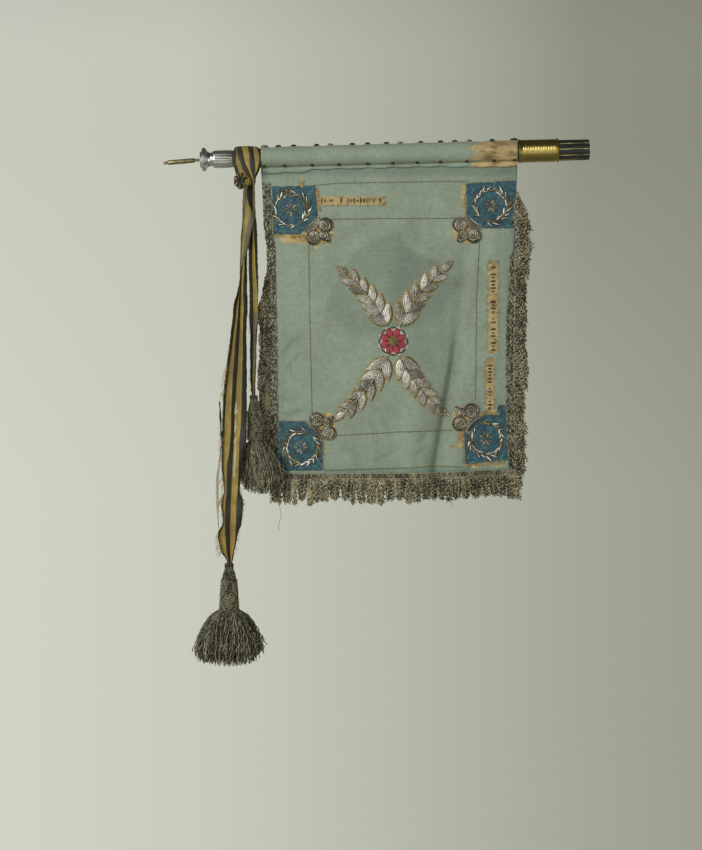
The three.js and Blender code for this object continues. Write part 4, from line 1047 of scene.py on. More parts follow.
def makePatch(name, spec):
    cut = patchCut
    topLeft, topRight, lowRight, lowLeft = np.asarray(spec["corners"], float)
    u, v = np.meshgrid(*[np.linspace(0, 1, cut["cells"] + 1)] * 2)
    u3, v3 = u[..., None], v[..., None]
    flat = (topLeft * (1 - u3) + topRight * u3) * (1 - v3) + (lowLeft * (1 - u3) + lowRight * u3) * v3
    # one patch keeps a narrow strip above its outer corner
    flat[..., 1] -= spec.get("strip", 0) * smooth(u, 0.79, 0.83) * (1 - v) ** 6
    # what lies past the slant is drawn back onto it
    slantAt, slantDrop, inAt, inDrop = spec["slant"]
    past = np.minimum(0, (flat[..., 0] - slantAt) * inAt + (flat[..., 1] - slantDrop) * inDrop)
    flat = flat - past[..., None] * np.array([inAt, inDrop])
    border = np.minimum(np.minimum(u, 1 - u), np.minimum(v, 1 - v)) * cut["side"]
    fromSlant = (flat[..., 0] - slantAt) * inAt + (flat[..., 1] - slantDrop) * inDrop
    border = np.minimum(border, np.where(past < 0, 0, fromSlant))
    jitter = ripple(spot(flat[..., 0], 0, flat[..., 1]) * 1000, 5.0, 3.1) * cut["fray"] * (border < 1.5)
    at, drop = flat[..., 0] + jitter, flat[..., 1] + jitter * 0.7
    puff = cut["puff"] * ripple(spot(at, 0, drop) * 1000, 16.0, 7.7)
    points = spot(at, frontAt(at, drop, cut["lift"]) - puff * (border > 3), drop)
    made = addMesh(name + "_silk", points, gridFaces(*u.shape), patchSilk)
    setAttribute(made, "edge", (1 - smooth(border, 0, 4.5)).ravel() * cut["frayedEdge"])
    return thicken(faceTowardFront(made), cut["thickness"])


for name, spec in patches.items():
    patch = makePatch(name, spec)
    fit("blue_silk", patch, replaces=[name])
print("patches ready")


# Frayed threads round the worn places
def frayThreads(rng, fromPoint, toPoint, count, reach, direction):
    # short loose threads along a line, pointing one way
    share = np.sort(rng.random(count))
    at = fromPoint[0] + (toPoint[0] - fromPoint[0]) * share
    drop = fromPoint[1] + (toPoint[1] - fromPoint[1]) * share
    length = reach * (0.35 + rng.random(count))
    lean = rng.normal(0, 0.35, count)
    out = []
    for step in np.linspace(-0.3, 1, 4):
        free = max(step, 0)
        a = at + (direction[0] + lean * direction[1]) * length * step
        d = drop + (direction[1] + lean * direction[0]) * length * step + 0.6 * free**2
        out.append(spot(a, frontAt(a, d, 0.9 + 0.5 * free), d))
    return np.stack(out, axis=1)


rng = np.random.default_rng(7)
frays = [  # from, to, how many threads, their reach and the way they point
    ((536, 74), (529.5, 122), 60, 5.5, (-1, 0)), ((617, 167), (556, 168.5), 56, 5, (0, 1)),
    ((621, 120), (618.5, 166), 24, 3, (1, 0)), ((241.5, 68), (242, 128), 44, 5, (1, 0)),
    ((241, 67), (150, 61), 34, 2.5, (0, -1)), ((522, 570), (522, 628), 40, 4, (-1, 0)),
    ((600, 531), (545, 533), 34, 3.5, (0, -1)), ((243, 617.5), (164, 609), 64, 5, (0, 1)),
    ((246.5, 552), (244, 614), 44, 4.5, (1, 0)), ((212, 519), (176, 519), 40, 5, (0, -1)),
    ((567, 72), (559, 72), 14, 11, (0, -1)), ((404, 92), (404, 109), 18, 6, (-1, 0)),
    ((531, 109), (404, 109), 50, 2.5, (0, 1)), ((199, 222), (178, 222), 22, 6, (0, -1)),
    ((199, 224), (199, 398), 70, 3, (1, 0)), ((179, 224), (179, 398), 60, 3, (-1, 0)),
    ((203, 414), (203, 512), 44, 3, (1, 0)), ((187, 414), (187, 512), 44, 3, (-1, 0)),
    ((200, 413), (190, 413), 16, 6, (0, -1)),
]
frayPaths = np.concatenate([frayThreads(rng, *row) for row in frays])
fit("silk", threads("frayedThreads", frayPaths, 0.42, creamSilk, taper=[1, 1, 0.8, 0.5]))
print("frayed threads ready")


# Embroidered leaves, shared by the wreaths and the middle ornament
def leafShape(name, ribs, width, points, across, pinch=0.75):
    # a padded leaf along +X from 0 to 1, flat underneath, grooved along its length like laid threads
    u, v = np.meshgrid(np.linspace(0, 1, points), np.linspace(-1, 1, across), indexing="ij")
    half = width / 2 * np.sin(np.pi * u**pinch) ** 0.8
    ridge = np.abs(np.sin(ribs * np.pi * (v + 1) / 2))
    z = (1 - v**2) ** 0.5 * (0.5 + 0.35 * ridge) * np.sin(np.pi * np.clip(u, 0.04, 0.96)) ** 0.5
    top = np.stack([u, v * half, z], -1)
    made = faceOut(addMesh(name, top, gridFaces(points, across, joined=True)))
    # painted shade: rib darkens the grooves between the laid threads in the thread material
    setAttribute(made, "rib", (1 - ridge).ravel() * 0.38)
    return made


slimLeaf = leafShape("slimLeaf", 1, 0.31, 8, 5)
broadLeaf = leafShape("broadLeaf", 5, 0.42, 14, 21)
plainLeaf = leafShape("plainLeaf", 1, 0.42, 10, 5)
petal = leafShape("petal", 3, 0.62, 10, 13, 1.6)


def sewOn(name, shape, rows, size, material, lift):
    # copies of a flat shape, bent to the silk under them; a row is (at, drop, heading left, heading down,
    # length, shade), and size is the length and width as shares of that length, and the height
    at, drop, headAt, headDrop, length, shade = np.asarray(rows, float).T
    turns = []
    for left, down in zip(headAt, headDrop):
        ahead = Vector((-left, 0, -down)).normalized()
        outward = Vector((0, -1, 0))
        turns.append(Matrix((ahead, outward.cross(ahead), outward)).transposed().to_euler())
    sizes = np.stack([length * size[0], length * size[1], np.broadcast_to(size[2], length.shape)], -1) / 1000
    made = copies(name, shape, spot(at, 0, drop), turns, sizes, material, shade)
    points = readPoints(made)
    points[:, 1] += frontAt(-points[:, 0] * 1000, -points[:, 2] * 1000, lift) / 1000
    return writePoints(made, points)


def petalRing(place, count, start, out, length, shades):
    # rows for sewOn, round a middle
    turns = 2 * np.pi * (np.arange(count) + start) / count
    left, down = np.cos(turns), np.sin(turns)
    ends = [np.full(count, length), np.resize(shades, count)]
    return np.stack([place["at"] + out * left, place["drop"] + out * down, left, down, *ends], -1)


wreaths = {
    "upperLeft": {"at": 583.1, "drop": 117.9, "tip": 60},
    "upperRight": {"at": 192.1, "drop": 110.5, "tip": 120},
    "lowerLeft": {"at": 563.9, "drop": 584, "tip": -60},
    "lowerRight": {"at": 202, "drop": 566.6, "tip": -120},
}
wreathShape = {
    "radius": 31.5, "pairs": 10, "leafLength": 14.5, "lean": 24, "unevenLean": 8, "apart": 1.2, "gap": 0.12,
    "leaf": (1.16, 1.2, 1.3), "strip": (0.92, 0.95, 1.3), "lift": 1.3, "lost": 0.08, "bright": 0.62,
}
smallRosette = {"petals": 8, "out": 2.2, "length": 11.5, "size": (1, 0.85, 1.6), "shades": (-0.04, 0.04, 0.12)}


def makeWreaths():
    s = wreathShape
    rows, rings = [], []
    local = np.random.default_rng(21)
    for spec in wreaths.values():
        tip = math.radians(spec["tip"])
        for side in (-1, 1):
            for i in range(s["pairs"]):
                # two branches, from the tied foot to the open tips
                turn = tip + math.pi + side * (s["gap"] + (math.pi - 2 * s["gap"]) * (i + 0.5) / s["pairs"])
                for lean in (-1, 1):
                    if local.random() < s["lost"]:
                        continue
                    leaning = math.radians(s["lean"] + s["unevenLean"] * local.normal())
                    heading = turn + side * math.pi / 2 + lean * leaning
                    reach = s["radius"] + lean * s["apart"]
                    at, drop = spec["at"] + math.cos(turn) * reach, spec["drop"] - math.sin(turn) * reach
                    length = s["leafLength"] * (0.8 + 0.35 * local.random())
                    shade = 0.36 * local.random() - 0.22
                    rows.append((at, drop, math.cos(heading), -math.sin(heading), length, shade))
        turns = np.linspace(0, 2 * np.pi, 60)
        a, d = spec["at"] + np.cos(turns) * s["radius"], spec["drop"] - np.sin(turns) * s["radius"]
        rings.append(spot(a, frontAt(a, d, s["lift"] + 0.4), d))
    leaves = sewOn("wreathLeaves", slimLeaf, rows, s["leaf"], dullGold, s["lift"])
    # a bright strip lies along some of the leaves
    strips = np.array(rows)[local.random(len(rows)) < s["bright"]]
    strips[:, :2] += strips[:, 2:4]
    strips[:, 5] = 0.3 * local.random(len(strips))
    shine = sewOn("wreathStrips", slimLeaf, strips, s["strip"], silverThread, s["lift"] + 0.5)
    return leaves, shine, threads("wreathStems", np.stack(rings), 0.9, dullGold, sides=5)


def makeSmallRosettes():
    # a plain eight-petalled rosette in each wreath, every other one turned by half a petal
    s = smallRosette
    rows = [
        petalRing(spec, s["petals"], 0.5 * (k % 2), s["out"], s["length"], s["shades"])
        for k, spec in enumerate(wreaths.values())
    ]
    return sewOn("wreathRosettes", petal, np.concatenate(rows), s["size"], dullSilver, 1.4)


fit("silver_thread", *makeWreaths(), makeSmallRosettes())
print("wreaths ready")

# Three-lobed ornaments between the patches and the middle
palmettes = {
    "palmette_upper_left": {"at": 527.5, "drop": 161.5, "towards": (-0.72, 0.69), "lift": 0.7},
    "palmette_upper_right": {"at": 240.5, "drop": 159.5, "towards": (0.62, 0.78), "lift": 0.7},
    "palmette_lower_left": {"at": 521, "drop": 541.5, "towards": (-0.74, -0.67), "lift": 0.7},
    "palmette_lower_right": {"at": 243.5, "drop": 523.5, "towards": (0.72, -0.69), "lift": 1.5},
}
lobes = [(-1, -17.5, 12.8), (11, 0, 8.5), (-1, 17.5, 12.8), (22.5, 0, 3.6)]  # forward, aside and radius
palmetteWork = {
    "points": 60, "cord": 1.15, "pitch": 3.7, "foot": 12, "slip": 0.62, "padHeight": 2.6, "knobHeight": 2.2,
    "padShade": -0.16, "edgeShade": -0.22, "bands": (-20, -17.5, -15, -12.5, -10),
    "bandShades": (-0.22, 0.08, -0.16, 0.12, -0.1),
}


def makePalmette(name, spec):
    # padded lobes under coiled cord, a band of cords at the foot and a small knob at the tip
    work = palmetteWork
    points = work["points"]
    toAt, toDrop = spec["towards"]
    local = np.random.default_rng(int(spec["at"]))

    def laid(x, y, height):
        at, drop = spec["at"] + x * toAt - y * toDrop, spec["drop"] + x * toDrop + y * toAt
        return spot(at, frontAt(at, drop, spec["lift"]) - height, drop)

    parts, cords, shades = [], [], []
    turns = np.linspace(0, 2 * np.pi, 24, endpoint=False)
    t = np.linspace(0, 1, points)
    for x, y, radius in lobes:
        high = work["padHeight"] if radius > 5 else work["knobHeight"]
        pad = [
            laid(x + radius * s * np.cos(turns), y + radius * s * np.sin(turns), high * (1 - s**2) ** 0.6)
            for s in np.linspace(1, 0.02, 7)
        ]
        pad = faceTowardFront(addMesh(name + "_pad", np.stack(pad), gridFaces(7, 24, joined=True), dullSilver))
        setAttribute(pad, "shade", np.full(len(pad.data.vertices), work["padShade"]))
        parts.append(pad)
        # the cord coils inwards, and its rounds lie closer on the side of the foot
        turn = math.atan2(y, x) + np.sign(y or 1) * t * radius / work["pitch"] * 2 * np.pi
        reach = radius * (1 - 0.9 * t)
        slip = work["slip"] * (radius - reach) / math.hypot(x + work["foot"], y)
        across = reach * np.cos(turn) - slip * (x + work["foot"])
        up = reach * np.sin(turn) - slip * y
        height = high * np.clip(1 - np.hypot(across, up) ** 2 / radius**2, 0, 1) ** 0.6 + 0.7
        cords.append(laid(x + across, y + up, height))
        # painted light: the cord grows lighter and darker by turns along its coil, with random flecks as painted glints
        shades.append(0.1 + 0.16 * np.sin(2.3 * turn + x) + 0.1 * local.normal(size=points))
        # the darker cord round the lobe
        turn, rim = t * 2 * np.pi, radius + 0.6
        cords.append(laid(x + rim * np.cos(turn), y + rim * np.sin(turn), np.full(points, 1.9)))
        shades.append(np.full(points, work["edgeShade"]))
    bar = np.linspace(-21, 21, points)
    for k, (x, shade) in enumerate(zip(work["bands"], work["bandShades"])):
        cords.append(laid(x - 0.011 * bar**2, bar * (1 - 0.05 * k), np.full(points, 1.4)))
        shades.append(shade + 0.08 * local.normal(size=points))
    made = threads(name + "_threads", np.stack(cords), work["cord"], dullSilver, np.stack(shades), sides=5)
    return joinMeshes(name + "_work", [made, *parts])


for name, spec in palmettes.items():
    fit("silver_thread", makePalmette(name, spec), replaces=[name])
print("palmettes ready")

# The middle ornament
middle = {"at": 384, "drop": 376}
rosetteShape = {
    "radius": 25, "petals": 8, "out": 3, "length": 24.5, "petal": (1, 1, 4.2), "edge": (1.14, 1.3, 1.26),
    "rings": ((8.6, 4.4), (6.6, 5.6), (4.6, 6.4), (2.6, 6.8), (0.9, 7.0)), "outline": 26.5, "scallop": 0.04,
}
sprayColumns = ("angle", "bend", "length", "lift")
sprays = {
    "spray_upper_left": (112, 26, 172, 0.7), "spray_upper_right": (68, -26, 160, 0.7),
    "spray_lower_left": (248, -26, 160, 0.7), "spray_lower_right": (292, 26, 172, 1.5),
}
leafGrowth = {
    "pairs": 5, "length": 46, "lean": 36, "shorter": 0.35, "fromStem": 4, "height": 0.08, "stem": 1.5,
    "edge": (1.13, 1.4, 0.5), "edgeBack": 2.5,
}


def makeSpray(name, row):
    s, grown = dict(zip(sprayColumns, row)), leafGrowth
    local = np.random.default_rng(int(s["angle"]))
    heading, bend = math.radians(s["angle"]), math.radians(s["bend"])
    start = rosetteShape["radius"] + 5

    def stem(share):
        # the way up the stem, as (left of the middle, above the middle)
        turn = heading + bend * share / 2
        reach = start + (s["length"] - start) * share
        return math.cos(turn) * reach, math.sin(turn) * reach

    rows = []
    for i in range(grown["pairs"] + 1):
        share = (i + 0.4) / (grown["pairs"] + 0.4)
        x, y = stem(share)
        nx, ny = stem(share + 0.02)
        for side in ([0] if i == grown["pairs"] else [-1, 1]):
            lean = math.atan2(ny - y, nx - x) + side * math.radians(grown["lean"])
            left, up = math.cos(lean), math.sin(lean)
            at, drop = middle["at"] + x - grown["fromStem"] * left, middle["drop"] - y + grown["fromStem"] * up
            length = grown["length"] * (1 - grown["shorter"] * share)
            rows.append((at, drop, left, -up, length, 0.26 * local.random() - 0.06))
    rows = np.array(rows)
    leafSize = (1, 1, rows[:, 4] * grown["height"])
    leaves = sewOn(name + "_leaves", broadLeaf, rows, leafSize, silverThread, s["lift"])
    # the frayed cloth edge that shows round each leaf
    rows[:, :2] -= rows[:, 2:4] * grown["edgeBack"]
    backing = sewOn(name + "_edges", plainLeaf, rows, grown["edge"], creamSilk, 0.1)
    stemPoints = np.array([stem(t) for t in np.linspace(0, 0.95, 24)])
    a, d = middle["at"] + stemPoints[:, 0], middle["drop"] - stemPoints[:, 1]
    stemPath = spot(a, frontAt(a, d, s["lift"] + 1.6), d)[None]
    return leaves, backing, threads(name + "_stem", stemPath, grown["stem"], dullSilver, sides=8)


for name, row in sprays.items():
    leaves, backing, stems = makeSpray(name, row)
    fit("silver_thread", leaves, replaces=[name])
    fit("silk", backing)
    fit("silver_thread", stems)


def makeRosette():
    # red petals over a silver edge, a coiled boss and a scalloped outline
    s = rosetteShape
    rows = petalRing(middle, s["petals"], 0.5, s["out"], s["length"], 0.0)
    red = sewOn("rosettePetals", petal, rows, s["petal"], redSilk, 0.8)
    rows[:, 5] = 0.2
    edge = sewOn("rosetteEdge", petal, rows, s["edge"], silverThread, 0.3)
    turns = np.linspace(0, 2 * np.pi, 33)
    left, down = np.cos(turns), np.sin(turns)
    rings = [
        spot(middle["at"] + reach * left, frontAt(middle["at"], middle["drop"], rise), middle["drop"] + reach * down)
        for reach, rise in s["rings"]
    ]
    boss = threads("rosetteBoss", np.stack(rings), 1.3, oliveSilk, sides=6)
    reach = s["outline"] * (1 + s["scallop"] * np.cos(s["petals"] * turns))
    a, d = middle["at"] + reach * left, middle["drop"] + reach * down
    outline = threads("rosetteOutline", spot(a, frontAt(a, d, 1.8), d)[None], 1.2, dullSilver, [-0.3], sides=6)
    return red, edge, boss, outline


rosette, rosetteEdge, boss, outline = makeRosette()
fit("red_silk", rosette, replaces=["rosette"])
fit("silver_thread", rosetteEdge)
fit("red_silk", boss)
fit("silver_thread", outline)

bandMarks = {  # plain bars and lozenges: from, to, how many, and the way they lie
    "rows": [
        ((527, 100.5), (406, 100.5), 19, (0, 1)), ((188.5, 228), (188.5, 396), 25, (1, 0)),
        ((195, 420), (195, 510), 14, (1, 0)),
    ],
    "lengths": (12.5, 8.0, 12.5, 5.0), "width": 13.0, "height": 1.2, "lost": 0.25,
}


def makeBandMarks():
    rows = []
    local = np.random.default_rng(5)
    for (a0, d0), (a1, d1), count, (left, down) in bandMarks["rows"]:
        for i in range(count):
            if local.random() < bandMarks["lost"]:
                continue  # worn away
            share = (i + 0.5) / count
            length = bandMarks["lengths"][i % 4]
            at, drop = a0 + (a1 - a0) * share - left * length / 2, d0 + (d1 - d0) * share - down * length / 2
            rows.append((at, drop, left, down, length, -0.32 + 0.3 * local.random()))
    rows = np.array(rows)
    size = (1, bandMarks["width"] / rows[:, 4], bandMarks["height"])
    return sewOn("bandLozenges", slimLeaf, rows, size, dullSilver, 0.2)


fit("silver_thread", makeBandMarks())
print("middle ornament ready")

# Fringe; a heading's table gives the strip's inner and outer edge at each drop
leftHeading = {
    "drop": [67, 150, 190, 350, 633], "inner": [624, 622.5, 615.5, 612, 608.5], "outer": [639.5, 637.5, 632, 630, 626],
}
rightHeading = {
    "drop": [86, 108, 150, 160, 196, 208, 350, 500, 634],
    "inner": [143, 148, 151, 145.5, 145.5, 154, 162.5, 162.5, 157],
    "outer": [138, 138, 137.5, 137.5, 140, 141, 145, 146, 142],
}
bottomHeading = {
    "height": 10.5, "overhang": 1.5, "from": 624.5, "to": 146.5, "stitches": 360, "strands": 760, "down": 45,
    "tuft": 16, "coiled": 46, "cords": ((0.6, 0.12), (5.2, -0.2), (10.0, 0.12)),
}
fringes = {
    "fringe_left": {
        "heading": leftHeading, "side": 1, "from": 240, "to": 628, "strands": 400, "out": 17, "down": 44, "grow": 60,
        "seed": 31,
    },
    "fringe_right": {
        "heading": rightHeading, "side": -1, "from": 90, "to": 633, "strands": 620, "out": 23, "down": 36, "grow": 22,
        "seed": 32,
    },
}
sideFringe = {"tuft": 24, "coiled": 42, "stitches": 230, "lanes": 4}
# millimetres, for one crinkled strand, drawn coarser and fewer than the real bullion; one entry, not in millimetres,
# is how much lighter and darker the coil is painted as it turns to and from the front
crimpShape = {"points": 26, "pitch": 7.6, "size": 2.1, "relief": 0.2, "stray": 2.6}


def headingThreads(rng, heading, rows, lanes):
    # small loops of thread worked side by side along a strip
    drop = np.linspace(heading["drop"][0], heading["drop"][-1], rows)
    inner, outer = (fromTable(heading, drop, "drop", side)[:, None] for side in ("inner", "outer"))
    steps = np.linspace(0, 1, 6)
    paths = []
    for lane in range(lanes):
        share = np.clip((lane + steps[None, :]) / lanes + 0.09 * rng.normal(size=(rows, 1)), 0.0, 1.0)
        a = inner + (outer - inner) * share
        sway = np.sin(2 * np.pi * steps + lane * 2)[None, :] * (0.5 + 0.7 * rng.random((rows, 1)))
        d = drop[:, None] + 2.6 * sway
        hump = (0.7 + 1.0 * rng.random((rows, 1))) * np.sin(np.pi * steps)[None, :]
        paths.append(spot(a, frontAt(a, d, 1.2) - hump, d))
    return np.concatenate(paths)


def loopShades(rng, count):
    # small worked loops: their ends lie deep and dark, their crowns catch the light
    return 0.4 * np.sin(np.pi * np.linspace(0, 1, 6)) - 0.36 + 0.7 * (rng.random((count, 1)) - 0.42)


def clumps(rng, places, spacing):
    # which tuft each strand belongs to, how far it stands from the tuft's middle, and the tuft's own chance
    span = places.max() - places.min()
    edges = np.cumsum(spacing * (0.6 + 0.8 * rng.random(int(span / spacing) * 2 + 4)))
    tuft = np.searchsorted(edges, places - places.min())
    edges = np.r_[0, edges] + places.min()
    return places - (edges[tuft] + edges[tuft + 1]) / 2, rng.random(len(edges) + 1)[tuft]


def crimped(rng, count, length):
    # the coils of crinkled strands: sideways and forward, one row per point, and the painted light and shade on them
    c = crimpShape
    phase = rng.random(count) * 2 * np.pi
    size = c["size"] * (0.6 + 0.8 * rng.random(count))
    pitch = c["pitch"] * (0.8 + 0.5 * rng.random(count))
    t = np.linspace(0, 1, c["points"])[:, None]
    coil = phase + 2 * np.pi * t * length / pitch + 0.9 * np.sin(t * 17 + phase * 3)
    grown = np.minimum(1, t * 6)
    stray = c["stray"] * rng.normal(size=count) * np.sin(t * (2 + 3 * rng.random(count)) + phase) * t
    # painted light: the coil is lighter where it turns to the front and darker where it turns back, with a little
    # random tone
    relief = -c["relief"] * np.sin(coil) + 0.1 * rng.normal(size=coil.shape)
    return t[:, 0], size * grown * np.cos(coil) + stray, size * grown * np.sin(coil), relief


def strandShades(rng, relief, chance, level, spread):
    # each strand and each tuft has its own tone, over the painted light and shade of its coil
    return relief.T + 0.3 * rng.random((len(chance), 1)) + level + spread * (chance - 0.5)[:, None]


def sideStrands(rng, spec):
    # bullion strands sewn into the heading's outer edge, falling under their weight in tufts
    n, side = spec["strands"], spec["side"]
    drop = spec["from"] + (spec["to"] - spec["from"]) * (np.arange(n) + rng.random(n)) / n
    outer = fromTable(spec["heading"], drop, "drop", "outer") - side * 1.4
    aside, chance = clumps(rng, drop, sideFringe["tuft"])
    grown = 0.3 + 0.7 * smooth(drop, spec["from"], spec["from"] + spec["grow"])
    out = spec["out"] * grown * (0.66 + 0.46 * chance) * (0.5 + 0.62 * rng.random(n))
    down = spec["down"] * (0.55 + 0.45 * grown) * (0.75 + 0.35 * rng.random(n)) * (1 - 0.25 * smooth(drop, 590, 620))
    out = out * (1 - 0.3 * smooth(drop, 580, 620) * (side < 0))
    layer = rng.random(n)
    root = frontAt(outer, drop, 1.6)
    path = []
    steps, sideways, forward, relief = crimped(rng, n, sideFringe["coiled"])
    for t, across, ahead in zip(steps, sideways, forward):
        a = outer + side * out * (1 - (1 - t) ** 2.2) + across
        d = drop + down * t**1.35 - 0.36 * aside * smooth(t, 0.1, 0.9) + ahead * 0.6
        y = root + (layer * 6 - 4.0) * smooth(t, 0, 0.4) + ahead * 0.7
        path.append(spot(a, y, d))
    return np.stack(path, axis=1), strandShades(rng, relief, chance, -0.22, 0.14)


def bottomStrands(rng):
    b = bottomHeading
    n = b["strands"]
    start = b["to"] - 12
    at = start + (b["from"] - start - 1) * (np.arange(n) + rng.random(n)) / n
    drop = fromTable(bottomEdge, at, "at", "drop") + b["overhang"] - 1.2
    aside, chance = clumps(rng, at, b["tuft"])
    down = b["down"] * (0.8 + 0.18 * rng.random(n) + 0.28 * chance - 0.009 * np.abs(aside))
    layer = rng.random(n)
    root = frontAt(at, drop, 1.4)
    path = []
    steps, sideways, forward, relief = crimped(rng, n, b["coiled"])
    for t, across, ahead in zip(steps, sideways, forward):
        a = at + across - 0.3 * aside * smooth(t, 0.1, 0.9)
        y = root + (layer * 7 - 4.4) * smooth(t, 0, 0.35) + ahead * 0.7
        path.append(spot(a, y, drop + down * t + ahead * 0.7))
    return np.stack(path, axis=1), strandShades(rng, relief, chance, -0.15, 0.16)


def makeBottomHeading(rng):
    # crossed stitches over the strip, under three laid cords
    b = bottomHeading
    odd = np.arange(b["stitches"])
    at = np.linspace(b["to"], b["from"], b["stitches"])
    drop = fromTable(bottomEdge, at, "at", "drop") + b["overhang"]
    stitches = []
    for t in np.linspace(0, 1, 6):
        d = drop - b["height"] * (1 - t) + 0.4 * rng.normal(size=b["stitches"])
        a = at + 3.8 * (t - 0.5) * np.where(odd % 2, 1, -1)
        stitches.append(spot(a, frontAt(a, d, 1.2) - 1.5 * math.sin(math.pi * t), d))
    shades = loopShades(rng, b["stitches"])
    loops = threads("bottomLoops", np.stack(stitches, axis=1), 0.9, gimp, shades, sides=3)
    cords = []
    for up, _ in b["cords"]:
        d = drop - up + 0.5 * np.sin(odd * 1.9 + up)
        cords.append(spot(at, frontAt(at, d, 2.6) - 0.5 * np.cos(odd * 1.9), d))
    cords = threads("bottomCords", np.stack(cords), 0.95, gimp, [shade for _, shade in b["cords"]])
    return joinMeshes("fringe_bottom_heading", [loops, cords])


strandTaper = np.r_[0.8, np.full(crimpShape["points"] - 2, 1.0), 0.8]
for name, spec in fringes.items():
    rng = np.random.default_rng(spec["seed"])
    knots = headingThreads(rng, spec["heading"], sideFringe["stitches"], sideFringe["lanes"])
    loops = threads(name + "_heading", knots, 0.85, gimp, loopShades(rng, len(knots)), sides=3)
    hanging, shades = sideStrands(rng, spec)
    strands = threads(name + "_strands", hanging, 0.9, bullion, shades, strandTaper, 3)
    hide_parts(name)
    fit("fringe_thread", loops, strands)

rng = np.random.default_rng(33)
hanging, shades = bottomStrands(rng)
strands = threads("fringe_bottom_strands", hanging, 0.9, bullion, shades, strandTaper, 3)
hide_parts("fringe_bottom")
fit("fringe_thread", makeBottomHeading(rng), strands)

# two threads that have come away from the hem
looseEnds = []
for (a0, d0), (a1, d1), sway in (((603.7, 684), (606.6, 745.5), 2.0), ((271.5, 676), (268, 698), 1.0)):
    t = np.linspace(0, 1, 24)
    a = a0 + (a1 - a0) * t + sway * np.sin(t * 9)
    looseEnds.append(spot(a, -9 - 2 * np.sin(t * 5), d0 + (d1 - d0) * t))
fit("fringe_thread", threads("looseThreads", np.stack(looseEnds), 0.55, creamSilk, sides=5))
print("fringe ready")

# Striped ribbon: a row is a drop, the places of the stripes' edges as they show from left to right, and the depth
dark, yellow, backAndSheen, pale = 0, 1, 2, 3
longEnd = {
    "colours": [dark, yellow, dark, yellow, dark], "folded": 0.2,
    "flat": [10, 16, 12, 16, 12],
    "rows": [
        (178, (679.5, 679.3, 679.1, 678.9, 675, 670.5), -17), (206, (681.6, 681.4, 681.2, 681, 676, 670.3), -19),
        (227.5, (683.4, 683.2, 683, 682.8, 675.2, 670.3), -19.5),
        (256.3, (684.7, 684.4, 684.1, 683.6, 676.8, 670.3), -20), (285.1, (690.5, 686, 685.2, 684, 677.6, 670.3), -20),
        (303.9, (696.4, 689.9, 687, 684, 677, 669.7), -20.5), (332.6, (698.5, 692.7, 689.1, 684, 677.6, 670.5), -21.5),
        (361.4, (702.1, 697, 692.1, 684.8, 678.4, 671.9), -23),
        (390.2, (705.6, 699.9, 694.2, 686.2, 678.4, 671.1), -25),
        (419.1, (709.5, 705, 696.4, 687.8, 679.1, 671.1), -27),
        (447.6, (713.4, 707.8, 698.5, 689.9, 679.7, 670.5), -30),
        (483.5, (716.4, 711.5, 699.9, 692.1, 680.5, 671.1), -34),
        (513.6, (717.2, 713.6, 700.9, 695, 681.5, 670.7), -36.5),
        (540, (718.5, 714.6, 701.5, 695, 682.5, 670.7), -38.5), (566.2, (718.9, 716, 702.9, 696.2, 685, 671.2), -41),
        (592.5, (719.5, 718.3, 705.4, 697.6, 685.9, 675.6), -43),
        (618.7, (719.9, 719.5, 709.6, 698.6, 686.6, 680.6), -43),
        (645, (717.6, 717.2, 710, 700.2, 687.4, 683), -42), (671.2, (715.4, 715, 710.6, 700.9, 688.6, 684), -41),
        (686.9, (720.9, 720.5, 712.1, 702.3, 690.5, 677.6), -39.5),
        (709.5, (719.1, 718.7, 713.8, 702.3, 691.1, 678.7), -37.5),
        (732, (718, 717.6, 713.6, 703.6, 691.9, 681.5), -35),
        (748.9, (726.6, 726.2, 713.4, 703.8, 692.7, 687.8), -32.5),
        (771.2, (724.2, 723.8, 711.5, 703.3, 694.4, 692.3), -29.5),
        (788.3, (720.1, 718.7, 710.3, 703.4, 697.8, 695.8), -27.5),
        (800, (711.5, 711, 707.6, 703.3, 699.7, 698), -26.3),
        (812, (708.2, 707.8, 706, 703.6, 701.3, 700.3), -26),
    ],
}
